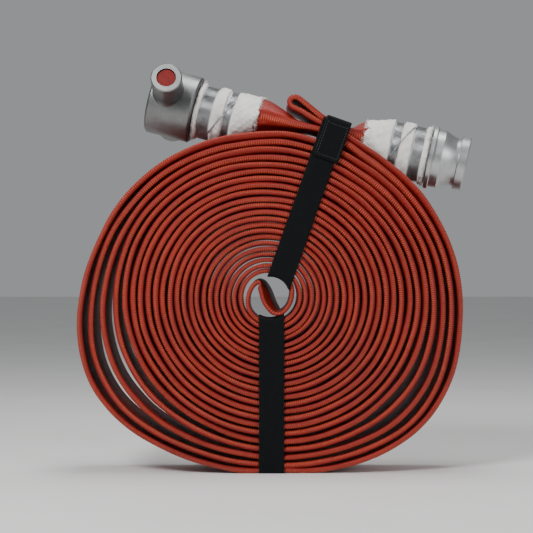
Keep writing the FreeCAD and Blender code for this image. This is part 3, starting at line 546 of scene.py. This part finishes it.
def turned_metal(name, coupling, dark, light, roughness, lines):
    """Aluminium with fine turning marks round the axis of a coupling, handling marks, small
    dents and a little dirt.  roughness gives the lowest and the highest value."""
    streak_stretch = 0.12
    dirt = (0.16, 0.155, 0.145)
    origin, level, upward, axis = axes_of(coupling)
    origin = origin * MM
    m = Nodes(name)
    place = m.coordinates("Object")
    lift = m.along(place, origin, axis)
    across = m.along(place, origin, level)
    rise = m.along(place, origin, upward)
    away = m.math("SQRT", m.plus(m.math("POWER", across, 2.0), m.math("POWER", rise, 2.0)))
    grooves = m.noise(m.combine(away, 0.0, lift), lines, 3.0, 0.7)
    slow_across = m.times(across, streak_stretch)
    slow_rise = m.times(rise, streak_stretch)
    streak = m.noise(m.combine(slow_across, slow_rise, lift), 420.0, 4.0, 0.6)
    cloudy = m.noise(place, 26.0, 5.0, 0.6)
    specks = m.noise(place, 170.0, 4.0, 0.7)
    base = m.ramp(cloudy, [(0.28, dark), (0.72, light)])
    lined = m.mix(m.times(streak, 0.35), base, tuple(0.55 * part for part in dark))
    spotted = m.mix(m.patches(specks, 0.6, 0.75, 0.35), lined, dirt)
    rough = m.plus(roughness[0], m.times(cloudy, roughness[1] - roughness[0]))
    rough = m.plus(rough, m.times(specks, 0.12))
    normal = m.bump(grooves, 0.22, 0.06 * MM)
    normal = m.bump(specks, 0.12, 0.2 * MM, normal)
    return m.feed(Base_Color=spotted, Metallic=1.0, Roughness=rough, Normal=normal)


def plain_metal(name, dark, light, rough):
    """Metal of a small part, without turning marks."""
    m = Nodes(name)
    place = m.coordinates()
    broad = m.noise(place, 90.0, 5.0)
    fine = m.noise(place, 900.0, 3.0)
    base = m.ramp(broad, [(0.3, dark), (0.7, light)])
    return m.feed(Base_Color=base, Metallic=1.0, Roughness=m.plus(rough, m.times(fine, 0.18)),
                  Normal=m.bump(fine, 0.2, 0.05 * MM))


def head_material():
    """Satin red plastic with fine scuffs."""
    m = Nodes("release_head_red")
    place = m.coordinates()
    broad = m.noise(place, 120.0, 5.0)
    fine = m.noise(place, 1100.0, 3.0)
    base = m.ramp(broad, [(0.3, (0.12, 0.002, 0.0006)), (0.7, (0.19, 0.003, 0.001))])
    scuffs = m.mix(m.patches(fine, 0.55, 0.8, 0.3), base, (0.24, 0.012, 0.006))
    return m.feed(Base_Color=scuffs, Roughness=m.plus(0.38, m.times(fine, 0.2)),
                  Normal=m.bump(fine, 0.25, 0.08 * MM), Specular_IOR_Level=0.2)


def rubber_material():
    """Black moulded rubber."""
    m = Nodes("washer_rubber")
    grain = m.noise(m.coordinates(), 600.0, 4.0)
    base = m.ramp(grain, [(0.3, (0.008, 0.008, 0.008)), (0.7, (0.03, 0.03, 0.031))])
    return m.feed(Base_Color=base, Roughness=m.plus(0.5, m.times(grain, 0.25)),
                  Normal=m.bump(grain, 0.3, 0.1 * MM))


def hook_material():
    """Black hook tape: close-set bumps, with painted shade between them."""
    m = Nodes("hook_tape_black")
    cells = m.add("ShaderNodeTexVoronoi")
    m.put(cells.inputs["Scale"], 900.0)
    m.put(cells.inputs["Vector"], m.coordinates())
    height = m.math("SUBTRACT", 1.0, cells.outputs["Distance"])
    # painted shade: the tape darkens from the top of each bump towards the gaps between them
    base = m.ramp(height, [(0.3, (0.004, 0.004, 0.005)), (0.9, (0.03, 0.032, 0.035))])
    return m.feed(Base_Color=base, Roughness=0.6, Normal=m.bump(height, 0.8, 0.5 * MM))


def floor_material():
    """Pale matt floor."""
    m = Nodes("studio_floor")
    grain = m.noise(m.coordinates(), 3.0, 5.0)
    base = m.ramp(grain, [(0.3, (0.74, 0.735, 0.72)), (0.7, (0.79, 0.785, 0.775))])
    return m.feed(Base_Color=base, Roughness=0.6)


# --- the hose ---

def coil_point(arm, turns):
    """Place of the middle line on one arm of the double spiral, after a number of turns."""
    angle = ARM_STARTS[arm] + 360.0 * turns
    radius = COIL_START + COIL_PITCH * turns + COIL_LOOSENING * turns ** 2
    for height, count, phase in ROLL_WAVES:
        radius += turns * height * np.cos(np.radians(count * (angle + phase)))
    for middle, width, height, start, full in LOOSE_BULGES + COUPLING_SAGS:
        radius += height * bell(angle - middle, width) * ramp(turns, start, full)
    x = radius * np.cos(np.radians(angle))
    z = HUB_HEIGHT + radius * np.sin(np.radians(angle))
    over = z - FLOOR_LINE
    flattened = FLOOR_LINE + 0.5 * (over + np.sqrt(over ** 2 + 1.0))
    return np.stack([x, np.zeros_like(x), flattened], axis=-1)


def end_guide(coupling):
    """Guide places inside a coupling's binding, from the rim back: place and roundness."""
    origin, level, upward, axis = axes_of(coupling)
    flattened = (coupling["oval_height"] - HOSE_MIDDLE) / (2 * HOSE_RADIUS - HOSE_MIDDLE)
    stations = [(HOSE_END, 0.0, 1.0), (END_GUIDE, 0.0, 1.0), (coupling["tail"] - TAIL_MARGIN, 0.0, 1.0),
                (coupling["cloth_end"], coupling["oval_lift"], flattened)]
    return [(origin - axis * back + upward * lift, roundness) for back, lift, roundness in stations]


def hose_guide():
    """Guide points of the hose from the rim of the male coupling to that of the female one,
    with how round the hose is at each and how many turns out on the roll it is."""
    guide = [(place, roundness, OFF_COIL) for place, roundness in end_guide(MALE)]
    guide += [((x, 0.0, z), roundness, OFF_COIL) for x, z, roundness in MALE_LEAD]
    for turn in np.linspace(ARM_TURNS["male"], CORE_TURNS, 400):
        guide.append((coil_point("male", turn), 0.0, turn))
    guide += [((x, 0.0, HUB_HEIGHT + z), 0.0, 0.0) for x, z in CORE_LEAD[::-1]]
    guide += [((-x, 0.0, HUB_HEIGHT - z), 0.0, 0.0) for x, z in CORE_LEAD[1:]]
    for turn in np.linspace(CORE_TURNS, ARM_TURNS["female"], 380):
        guide.append((coil_point("female", turn), 0.0, turn))
    guide += [((x, 0.0, z), roundness, OFF_COIL) for x, z, roundness in FEMALE_LEAD]
    guide += [(place, roundness, OFF_COIL) for place, roundness in end_guide(FEMALE)[::-1]]
    places, rounds, turns = zip(*guide)
    return np.array(places, float), np.array(rounds), np.array(turns)


def hose_run():
    """The middle line of the hose, and at each of its points the distance travelled, turn
    number, roundness, direction from the hub, and the section's own directions."""
    ease = 0.35
    guide, rounds, turns = hose_guide()
    off_coil = turns >= COILED[1]
    steps = HOSE_STEP + HOSE_STEP_MORE * ramp(turns, 1.0, 6.0) * ~off_coil
    centre, place = spline(guide, steps)
    index = np.arange(len(guide))
    roundness = np.interp(place, index, rounds)
    turn = np.interp(place, index, turns)
    tangent = unit(np.gradient(centre, axis=0))
    side = unit(BACK - (tangent @ BACK)[:, None] * tangent)
    normal = np.cross(tangent, side)
    spoke = centre - HUB
    spoke[:, 1] = 0.0
    middle = np.argmin(np.abs(guide[:, 0]) + np.abs(guide[:, 2] - HUB_HEIGHT))
    return SimpleNamespace(
        centre=centre, side=side, normal=normal, turn=turn, travel=travel_along(centre),
        roundness=ramp(roundness, 0.0, 1.0) * ease + roundness * (1.0 - ease),
        from_middle=place - middle, angle=np.degrees(np.arctan2(spoke[:, 2], spoke[:, 0])),
        outward=np.sign(np.sum(normal * spoke, axis=1)),
        coiled=(turn < COILED[1]) & (turn > COILED[0]))


def flat_profile(angles, fold):
    """Section of the flat hose: across and thickness at each angle, for each fold radius."""
    crease_width = 3.0
    across = HOSE_HALF * np.cos(angles)[None, :] * np.ones_like(fold)[:, None]
    reach = np.abs(across)
    fold = fold[:, None]
    tip = np.clip((reach - (HOSE_HALF - fold)) / fold, 0.0, 1.0)
    fullness = ramp(reach, HOSE_HALF - FOLD_REACH, HOSE_HALF - fold)
    body = HOSE_MIDDLE / 2 + (fold - HOSE_MIDDLE / 2) * fullness
    crease = FOLD_CREASE * np.exp(-((reach - (HOSE_HALF - 2.6 * fold)) / crease_width) ** 2)
    thick = (body - crease) * np.sqrt(np.maximum(1.0 - tip ** 2, 0.0))
    return across, thick * np.sign(np.sin(angles))[None, :]


def add_pleats(run, spin, wide, high):
    """Lengthwise pleats where the hose opens from flat to round."""
    pleat_height = 0.95
    mix = run.roundness[:, None]
    opening = (4 * mix * (1 - mix)) ** 0.7
    pleat = np.sin(spin[None, :] * 15 + 1.3 * waves(run.travel / 40.0, 11)[:, None])
    pleat += 0.7 * np.sin(spin[None, :] * 9 + 2.0 + 1.1 * waves(run.travel / 60.0, 12)[:, None])
    swell = pleat_height * pleat * opening / np.sqrt(wide ** 2 + high ** 2)
    return wide * (1 + swell * mix ** 0.5), high * (1 + swell)


def add_wander(run, wide, high):
    """Strands lie a little deeper or prouder than their neighbours, and their edges wander."""
    wide = wide + (uneven(run.travel, SIDEWAYS_WANDER) * run.coiled)[:, None]
    lap = (uneven(run.travel, EDGE_LAP) * run.coiled)[:, None] * (wide / HOSE_HALF) ** 2
    tilt = (uneven(run.travel, STRAND_TILT) * run.coiled)[:, None] * (wide / HOSE_HALF)
    return wide, high + lap + tilt


def twist_core(run, wide, high):
    """The middle of the hose, in the centre of the roll, is twisted so that its face shows."""
    twist = 4.0
    front_pull = 7.5
    core = np.exp(-(run.from_middle / 1.5) ** 2)
    return high + core[:, None] * (twist * (wide / HOSE_HALF) - front_pull * ramp(-wide, 18.0, HOSE_HALF))


def lift_edges(run, wide, high):
    """The couplings press only the middle of the strands down; their edges stay up."""
    lifted_share = 0.93
    pressed_half = 10.0
    release = 95.0
    on_coil = run.travel[run.coiled]
    beyond = np.maximum(np.maximum(on_coil[0] - run.travel, run.travel - on_coil[-1]), 0.0)
    settled = np.minimum(run.turn, 11.8) * (run.turn > COILED[0])
    lift = 3.2 * bell(run.angle - 84.0, 12.0) * ramp(settled, 9.0, 11.0)
    for middle, width, height, start, full in COUPLING_SAGS:
        lift -= lifted_share * height * bell(run.angle - middle, width) * ramp(settled, start, full)
    lift *= 1.0 - ramp(beyond, 0.0, release)
    edge = (np.maximum(np.abs(wide) - pressed_half, 0.0) / (HOSE_HALF - pressed_half)) ** 1.5
    return high + (lift * run.outward)[:, None] * edge


def resting_height(points):
    """Lowest height of the hose: the floor, and the lower strap where that passes under it."""
    play = 0.15
    beside_strap = np.abs(points[..., 0] + LOWER_STRAP["offset"]) - STRAP_WIDTH / 2
    return play + (STRAP_THICK + 0.3) * (1 - ramp(beside_strap, 1.0, 6.0))


def build_hose(material):
    run = hose_run()
    spin = 2 * np.pi * (np.arange(HOSE_COLUMNS) + 0.5) / HOSE_COLUMNS
    spin = spin - 0.3 * np.sin(2 * spin)
    fold = FOLD_RADIUS + FOLD_GROWTH * ramp(run.turn, 1.0, 8.0) + uneven(run.travel, FOLD_UNEVEN)
    across, thick = flat_profile(spin, fold)
    mix = run.roundness[:, None]
    wide = across * (1 - mix) + HOSE_RADIUS * np.cos(spin)[None, :] * mix
    high = thick * (1 - mix) + HOSE_RADIUS * np.sin(spin)[None, :] * mix
    wide, high = add_pleats(run, spin, wide, high)
    wide, high = add_wander(run, wide, high)
    high = twist_core(run, wide, high)
    high = lift_edges(run, wide, high)
    points = run.centre[:, None, :] + wide[..., None] * run.side[:, None, :]
    points = points + high[..., None] * run.normal[:, None, :]
    points[..., 2] = np.maximum(points[..., 2], resting_height(points))

    rows = len(run.centre)
    faces = grid_faces(rows, HOSE_COLUMNS, flip=True)
    sample = rows // 3
    flat = np.stack([across[sample], thick[sample]], axis=1)
    around = np.linalg.norm(np.roll(flat, -1, axis=0) - flat, axis=1) * MM
    v = np.concatenate([[0.0], np.cumsum(around)[:-1]])
    uv = grid_uv(faces, run.travel * MM, v, HOSE_COLUMNS, float(around.sum()))
    close_ends(faces, uv, rows, HOSE_COLUMNS, flip=True)
    obj = make_mesh("hose_roll", points.reshape(-1, 3), faces, material, uv=uv)
    stand_for(obj, "hose")


# --- the binding cloth and wire ---

def cloth_profile(coupling, backs):
    """Height of the cloth above the hose at distances behind the rim."""
    edge_out = 1.6
    edge_in = 0.6
    full = coupling["cloth_radius"] - HOSE_RADIUS
    groove = coupling["groove_radius"] - HOSE_RADIUS
    height = np.full_like(backs, full)
    for start, stop in coupling["bands"]:
        entered = ramp(backs, start - edge_out, start + edge_in)
        inside = entered * (1 - ramp(backs, stop - edge_in, stop + edge_out))
        height = height * (1 - inside) + groove * inside
    (_, first_stop), (second_start, second_stop) = coupling["bands"]
    half_gap = (second_start - first_stop) * 0.42
    height += 0.5 * np.exp(-((backs - (first_stop + second_start) / 2) / half_gap) ** 4)
    taper = ramp(backs, second_stop + edge_out, coupling["cloth_end"])
    return height * (1 - taper) + CLOTH_TAPER * taper


def ring_waves(spin, back, seed, parts):
    """Waves round a coupling at a distance behind its rim."""
    return sum(height * np.sin(spin * count + back * slope + seed * share)
               for height, count, slope, share in parts)


def cloth_ring(coupling, back, height, spin, seed, start, end):
    """One ring of points of the outside of the cloth."""
    kept_in_groove = 0.12
    hem_share = 0.45
    ripple = ring_waves(spin, back, seed, CLOTH_CREASES)
    ripple += 0.28 * np.sin(spin * 31 + back * 0.7 + 1.3 * np.sin(back * 0.21 + seed))
    in_groove = height < coupling["groove_radius"] - HOSE_RADIUS + 0.9
    before_taper = back < coupling["bands"][1][1] + 1
    looseness = kept_in_groove if in_groove and before_taper else 1.0
    from_edge = min(back - start, end - back)
    thinning = 1.0
    if from_edge < CLOTH_HEM:
        thinning = hem_share + (1.0 - hem_share) * math.sqrt(max(from_edge, 0.0) / CLOTH_HEM)
    loose_end = ramp(back, end - CLOTH_LOOSE, end)
    tight_end = 1 - ramp(back, start, start + 6.0)
    grow = height * thinning + looseness * ripple * 0.9
    grow = grow + loose_end * (0.8 + 0.9 * np.sin(spin * 8 + seed))
    grow = grow + tight_end * 0.9 * np.sin(spin * 6 + 3 * seed)
    axis = axes_of(coupling)[3]
    shift = loose_end * ring_waves(spin, 0.0, seed, HEM_WAVES)
    return end_section(coupling, back, spin, grow) - axis * shift[:, None]


def build_cloth(name, node, coupling, material, seed):
    spin = 2 * np.pi * np.arange(CLOTH_COLUMNS) / CLOTH_COLUMNS
    start = coupling["cloth_start"] + 0.4
    end = coupling["cloth_end"] + 1.0
    backs = np.concatenate([np.arange(start, end, CLOTH_STEP), [end]])
    heights = cloth_profile(coupling, backs)
    outside = [cloth_ring(coupling, back, height, spin, seed, start, end)
               for back, height in zip(backs, heights)]
    lining = [end_section(coupling, back, spin, np.full(CLOTH_COLUMNS, CLOTH_LINING)) for back in backs]
    rings = outside + lining[::-1]
    faces = grid_faces(len(rings), CLOTH_COLUMNS, closed_rows=True, flip=coupling["outward"] < 0)
    u = np.concatenate([backs, backs[::-1]]) * MM
    v = spin * coupling["cloth_radius"] * MM
    uv = grid_uv(faces, u, v, CLOTH_COLUMNS, 2 * math.pi * coupling["cloth_radius"] * MM)
    obj = make_mesh(name, np.concatenate(rings), faces, material, uv=uv)
    stand_for(obj, node)


def tube(points, radius, sides):
    """Vertices and faces of a round tube along points; radius may change along it."""
    points = np.asarray(points, float)
    radius = np.broadcast_to(np.asarray(radius, float), (len(points),))
    tangent = unit(np.gradient(points, axis=0))
    helper = UP if abs(tangent[0] @ UP) < 0.8 else BACK
    first = unit(np.cross(tangent[0], helper))
    firsts = [first]
    for ahead in tangent[1:]:
        firsts.append(unit(firsts[-1] - (firsts[-1] @ ahead) * ahead))
    firsts = np.array(firsts)
    seconds = np.cross(tangent, firsts)
    spin = 2 * np.pi * np.arange(sides) / sides
    ring = np.cos(spin)[None, :, None] * firsts[:, None, :]
    ring = ring + np.sin(spin)[None, :, None] * seconds[:, None, :]
    vertices = (points[:, None, :] + radius[:, None, None] * ring).reshape(-1, 3)
    faces = grid_faces(len(points), sides, flip=True)
    close_ends(faces, [], len(points), sides, flip=True)
    return vertices, faces


def build_threads(name, parts, material):
    """One piece, fixed to the roll, out of many short tubes."""
    vertices = []
    faces = []
    count = 0
    for points, part_faces in parts:
        vertices.append(points)
        faces += [tuple(count + corner for corner in face) for face in part_faces]
        count += len(points)
    obj = make_mesh(name, np.concatenate(vertices), faces, material)
    obj.data.uv_layers.new(name="lay")
    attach(obj, ROOT)


def fringe_thread(coupling, local, edge):
    """One loose thread at an edge of the cloth."""
    _, level, upward, axis = axes_of(coupling)
    angle = local.uniform(0, 2 * math.pi)
    lift = edge["height"] + local.uniform(-0.9, 0.7)
    back = edge["back"] + edge["inward"] * 0.8
    root = end_section(coupling, back, np.array([angle]), np.array([lift]))[0]
    radial = unit(math.cos(angle) * level + math.sin(angle) * upward)
    around = np.cross(axis, radial)
    reach = local.uniform(*edge["reach"])
    if edge["inward"] > 0:
        lean = radial * local.uniform(0.15, 0.75) + axis * local.uniform(-0.6, 0.15)
    else:
        lean = -axis * local.uniform(0.5, 1.0) + radial * local.uniform(-0.1, 0.35)
    lean = unit(lean + around * local.uniform(-0.6, 0.6))
    curl = unit(radial * local.uniform(-0.5, 0.6) + around * local.uniform(-1, 1))
    steps = np.linspace(0, 1, 4)[:, None]
    line = root + lean * reach * steps + curl * reach * 0.4 * steps ** 2
    return tube(line, FRINGE_RADIUS * (1 - 0.55 * steps[:, 0]), FRINGE_SIDES)


def build_fringe(name, coupling, material, seed):
    """Loose threads along both edges of the binding cloth."""
    local = np.random.default_rng(seed)
    edges = [
        {"back": coupling["cloth_start"] + 1.2, "inward": 1.0, "count": 300, "reach": (2.6, 5.6),
         "height": coupling["cloth_radius"] - HOSE_RADIUS - 1.0},
        {"back": coupling["cloth_end"] + 0.4, "inward": -1.0, "count": 260, "reach": (2.5, 6.5),
         "height": 1.4},
    ]
    parts = [fringe_thread(coupling, local, edge) for edge in edges for number in range(edge["count"])]
    build_threads(name, parts, material)


def wire_line(coupling):
    """The wire of one coupling as angle round the axis, distance behind the rim and radius: a
    wound band, a length over the cloth and the second band, and the second band wound back."""
    pitch = 2.0 * WIRE_RADIUS + WIRE_GAP
    low = coupling["groove_radius"] + WIRE_RADIUS + WIRE_SEAT
    high = coupling["cloth_radius"] + WIRE_RADIUS + WIRE_OVER_CLOTH
    over = low + 2.0 * WIRE_RADIUS + 2 * WIRE_SEAT
    (first_start, first_stop), (second_start, second_stop) = coupling["bands"]
    begin, finish = (math.radians(angle) for angle in coupling["crossing"])

    def band(start, stop):
        count = int((stop - start - 2 * WIRE_RADIUS) / pitch)
        angles = np.arange(0.0, count * 2 * math.pi, math.radians(5.0))
        return angles, angles / (2 * math.pi) * pitch

    angles, climb = band(first_start, first_stop)
    backs = first_start + WIRE_RADIUS + climb
    first = np.stack([angles - angles[-1] + begin, backs, np.full_like(angles, low)], axis=1)
    angles, climb = band(second_start, second_stop)
    backs = second_stop - WIRE_RADIUS - climb
    second = np.stack([angles + finish, backs, np.full_like(angles, low)], axis=1)
    share = np.linspace(0, 1, 40)[1:-1]
    leave = first[-1, 1]
    land = second[0, 1]
    back = leave + (land - leave) * share
    stations = [leave, first_stop + 2.0, second_start - 1.6, second_start + 2.4, second_stop - 3.0, land]
    radius = np.interp(back, stations, [low, high, high, over, over, low])
    crossing = np.stack([begin + (finish - begin) * share, back, radius], axis=1)
    return np.concatenate([first, crossing, second])


def build_wire(name, node, coupling, material):
    origin, level, upward, axis = axes_of(coupling)
    angle, back, radius = wire_line(coupling).T
    radius = (radius * (1 + 0.0016 * waves(angle * 1.7, 5)))[:, None]
    around = np.cos(angle)[:, None] * level + np.sin(angle)[:, None] * upward
    points = origin - axis * back[:, None] + around * radius
    obj = make_mesh(name, *tube(points, WIRE_RADIUS, WIRE_SIDES), material)
    stand_for(obj, node)


# --- the straps ---

def rounded_path(corners, step):
    """Points along straight stretches with rounded corners; each corner is a place in the
    (y, height above the hub) plane and how far before it the rounding starts."""
    places = [np.array(corner[:2], float) for corner in corners]
    points = [places[0]]
    for before, corner, after, (_, _, reach) in zip(places, places[1:], places[2:], corners[1:]):
        start = corner + unit(before - corner) * reach
        end = corner + unit(after - corner) * reach
        for share in np.linspace(0, 1, 9):
            points.append((1 - share) ** 2 * start + 2 * share * (1 - share) * corner + share ** 2 * end)
    points.append(places[-1])
    dense = [points[0]]
    for first, second in zip(points, points[1:]):
        count = max(1, int(np.linalg.norm(second - first) / step))
        dense += [first + (second - first) * number / count for number in range(1, count + 1)]
    return np.array(dense)


def strap_sheet(strap, path, shift, calm, bend):
    """A band of webbing along a path.  bend says how much the band curls round the hub at
    each point, shift moves it sideways and calm keeps it flat."""
    lean = math.radians(strap["lean"])
    across = np.array([math.cos(lean), 0.0, -math.sin(lean)])
    reach = np.array([math.sin(lean), 0.0, math.cos(lean)])
    tangent = unit(np.gradient(path, axis=0))
    normal = np.stack([-tangent[:, 1], tangent[:, 0]], axis=1)
    half = STRAP_WIDTH / 2
    one_way = np.linspace(-half, half, STRAP_COLUMNS)
    v = np.concatenate([one_way, one_way[::-1]])
    face_side = np.concatenate([np.ones(STRAP_COLUMNS), -np.ones(STRAP_COLUMNS)])
    selvage = 1 - 0.42 * ramp(np.abs(v), half - 1.4, half)
    travel = travel_along(path)
    loose = (1 - bend) * (1 - calm)
    out = STRAP_THICK / 2 * (face_side * selvage)[None, :]
    out = out + (0.4 * waves(travel / 34.0, strap["seed"]) * loose)[:, None] * (v[None, :] / half) ** 2
    out = out + (0.25 * waves(travel / 12.0, strap["seed"] + 1) * loose)[:, None] * (v[None, :] / half)
    y = path[:, 0][:, None] + normal[:, 0][:, None] * out
    u = path[:, 1][:, None] + normal[:, 1][:, None] * out
    side = strap["offset"] + shift[:, None] + v[None, :]
    curved = np.sqrt(np.maximum(u ** 2 - side ** 2, 1.0))
    u = u * (1 - bend[:, None]) + curved * bend[:, None]
    points = HUB + side[..., None] * across + u[..., None] * reach + y[..., None] * BACK
    points[..., 2] = np.maximum(points[..., 2], 0.0)
    return points, travel, v + half


def build_strap(name, node, strap, corners, material, thread):
    """corners run from the first end of the webbing to the second."""
    path = rounded_path(corners, STRAP_STEP)
    inner = strap["inner"] + STRAP_THICK / 2
    bend = 1 - ramp(path[:, 1], inner + 3.0, inner + 13.0)
    length = travel_along(path)
    from_end = length[-1] - length if strap["last_end_outer"] else length
    layer = 1 - ramp(from_end, strap["overlap"], strap["overlap"] + 70.0)
    points, travel, v = strap_sheet(strap, path, strap["shift"] * layer, layer, bend)
    rows, columns = points.shape[:2]
    faces = grid_faces(rows, columns)
    uv = grid_uv(faces, travel * MM, v * MM, columns, v[0] * MM)
    close_ends(faces, uv, rows, columns)
    obj = make_mesh(name, points.reshape(-1, 3), faces, material, uv=uv)
    stand_for(obj, node)
    build_stitches(f"{name}_stitches", points, from_end, strap["overlap"], thread)


def build_stitches(name, points, from_end, overlap, material):
    """Two rows of stitches along the outer layer and one across each of its ends."""
    order = np.argsort(from_end)
    distance = from_end[order]
    faces = (points[order][:, :STRAP_COLUMNS], points[order][:, STRAP_COLUMNS:])
    middle = STRAP_COLUMNS // 2
    near_end = len(order) // 8
    reaches = [np.abs(face[:near_end, middle, 1]).mean() for face in faces]
    sheet = faces[0] if reaches[0] > reaches[1] else faces[1]
    away = BACK * np.sign(sheet[3, middle, 1]) * STITCH_LIFT

    def place(along, column):
        low = int(column)
        share = column - low
        next_column = min(low + 1, STRAP_COLUMNS - 1)
        row = [np.interp(along, distance, sheet[:, low, axis]) * (1 - share)
               + np.interp(along, distance, sheet[:, next_column, axis]) * share for axis in range(3)]
        return np.array(row) + away

    def stitch(line):
        return tube(line, STITCH_RADIUS * np.array([0.6, 1.0, 1.0, 0.6]), STITCH_SIDES)

    parts = []
    stop = overlap - STITCH_ENDS[1]
    for column in (1.6, STRAP_COLUMNS - 2.6):
        for start in np.arange(STITCH_ENDS[0], stop, STITCH_PITCH):
            parts.append(stitch([place(start + STITCH_LENGTH * step / 3, column) for step in range(4)]))
    for along in (STITCH_ENDS[0], stop):
        for start in np.arange(1.9, STRAP_COLUMNS - 3.4, 2.0):
            parts.append(stitch([place(along, start + 1.4 * step / 3) for step in range(4)]))
    build_threads(name, parts, material)


def build_upper_strap(material, thread):
    """Round the roll from its centre to the top, with its free tail folded over the front."""
    inner = UPPER_STRAP["inner"] + STRAP_THICK / 2
    top = UPPER_STRAP["top"] - STRAP_THICK / 2
    corners = [
        (-STRAP_FACE, top - 4.0, 0.0), (-STRAP_FACE, inner, 4.0), (STRAP_FACE, inner, 4.0),
        (STRAP_FACE, top, 7.0), (-STRAP_OUTER_FACE, top, 6.0), (-STRAP_OUTER_FACE, top - 64.0, 0.0),
    ]
    build_strap("upper_strap_webbing", "strap_upper", UPPER_STRAP, corners, material, thread)


def build_lower_strap(material, thread):
    """Round the roll from its centre to the floor, with its overlap at the back."""
    inner = LOWER_STRAP["inner"] + STRAP_THICK / 2
    top = LOWER_STRAP["top"] - STRAP_THICK / 2
    corners = [
        (STRAP_OUTER_FACE, 135.0, 0.0), (STRAP_OUTER_FACE, 203.0, 3.0), (STRAP_FACE, 209.0, 3.0),
        (STRAP_FACE, top, 4.0), (-STRAP_FACE, top, 4.0), (-STRAP_FACE, inner, 4.0),
        (STRAP_FACE, inner, 4.0), (STRAP_FACE, 203.5, 0.0),
    ]
    build_strap("lower_strap_webbing", "strap_lower", LOWER_STRAP, corners, material, thread)


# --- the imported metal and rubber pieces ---

def build_spring(end, material):
    """A copy of a packed plunger spring with a new material, fixed to the roll in place of the imported one.
    """
    node = f"plunger_spring_{end}"
    mesh = NODES[node].data.copy()
    mesh.materials.clear()
    mesh.materials.append(material)
    coil = bpy.data.objects.new(f"spring_coil_{end}", mesh)
    bpy.context.scene.collection.objects.link(coil)
    stand_for(coil, node)
    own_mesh(coil)


def paint(node, material):
    """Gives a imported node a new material."""
    data = NODES[node].data
    data.materials.clear()
    data.materials.append(material)


def paint_couplings():
    brushed = turned_metal("brushed_aluminium_body", FEMALE, (0.16, 0.163, 0.163), (0.29, 0.293, 0.29),
                           (0.32, 0.46), 2600.0)
    machined = turned_metal("machined_aluminium_body", MALE, (0.4, 0.405, 0.41), (0.62, 0.625, 0.63),
                            (0.26, 0.4), 2200.0)
    paint("female_body", brushed)
    paint("male_body", machined)
    paint("sealing_washer", rubber_material())


def finish_latches():
    head = head_material()
    steel = plain_metal("plunger_steel_turned", (0.4, 0.4, 0.41), (0.62, 0.62, 0.62), 0.22)
    drawn = plain_metal("spring_steel_drawn", (0.25, 0.26, 0.28), (0.45, 0.46, 0.48), 0.3)
    gland = plain_metal("gland_aluminium", (0.4, 0.4, 0.4), (0.56, 0.56, 0.56), 0.32)
    for end in ("front", "rear"):
        paint(f"release_head_{end}", head)
        paint(f"latch_plunger_{end}", steel)
        paint(f"plunger_gland_{end}", gland)
        build_spring(end, drawn)


def build_bindings():
    cloth = cloth_material()
    wire = wire_material()
    for name, coupling, seed in (("female", FEMALE, 1.0), ("male", MALE, 2.6)):
        build_cloth(f"{name}_cloth_wrap", f"{name}_binding_cloth", coupling, cloth, seed)
        build_fringe(f"{name}_cloth_fringe", coupling, cloth, int(seed * 10))
        build_wire(f"{name}_wire_winding", f"{name}_binding_wire", coupling, wire)


def build_straps():
    webbing = webbing_material()
    thread = thread_material()
    build_upper_strap(webbing, thread)
    build_lower_strap(webbing, thread)
    hooks = hook_material()
    for strap in ("upper", "lower"):
        paint(f"strap_{strap}_hook_pad", hooks)


# --- the studio: these sizes are in metres ---

WORLD_COLOR = (0.84, 0.86, 0.88, 1.0)
WORLD_STRENGTH = 0.36
LIGHT_TARGET = Vector((0.0, 0.0, 0.3))
LIGHTS = {
    "key": {"place": (-1.1, -1.9, 2.0), "size": 0.9, "power": 66.0},
    "fill": {"place": (1.9, -1.6, 0.9), "size": 1.2, "power": 16.0},
    "top": {"place": (0.1, 0.1, 2.3), "size": 1.0, "power": 26.0},
}
CAMERA_PLACE = (-0.00525, -2.456, 0.3108)
CAMERA_LENS = 108.0  # focal length in millimetres, like the sensor's width
CAMERA_SENSOR = 36.0


def build_floor():
    half = 14.0 / MM
    corners = [(-half, -half, 0.0), (half, -half, 0.0), (half, half, 0.0), (-half, half, 0.0)]
    make_mesh("studio_floor", corners, [(0, 1, 2, 3)], floor_material())


def build_world():
    world = bpy.data.worlds.new("studio_world")
    world.use_nodes = True
    background = world.node_tree.nodes["Background"]
    background.inputs["Color"].default_value = WORLD_COLOR
    background.inputs["Strength"].default_value = WORLD_STRENGTH
    bpy.context.scene.world = world


def build_lights():
    for name, light in LIGHTS.items():
        data = bpy.data.lights.new(name, "AREA")
        data.shape = "DISK"
        data.size = light["size"]
        data.energy = light["power"]
        lamp = bpy.data.objects.new(name, data)
        lamp.location = light["place"]
        lamp.rotation_euler = (LIGHT_TARGET - lamp.location).to_track_quat("-Z", "Y").to_euler()
        bpy.context.scene.collection.objects.link(lamp)


def build_camera():
    data = bpy.data.cameras.new("photo_camera")
    data.lens = CAMERA_LENS
    data.sensor_width = CAMERA_SENSOR
    camera = bpy.data.objects.new("photo_camera", data)
    camera.location = CAMERA_PLACE
    camera.rotation_euler = (math.radians(90.0), 0.0, 0.0)
    bpy.context.scene.collection.objects.link(camera)
    bpy.context.scene.camera = camera


build_hose(hose_material())
build_bindings()
build_straps()
paint_couplings()
finish_latches()
build_floor()
build_world()
build_lights()
build_camera()
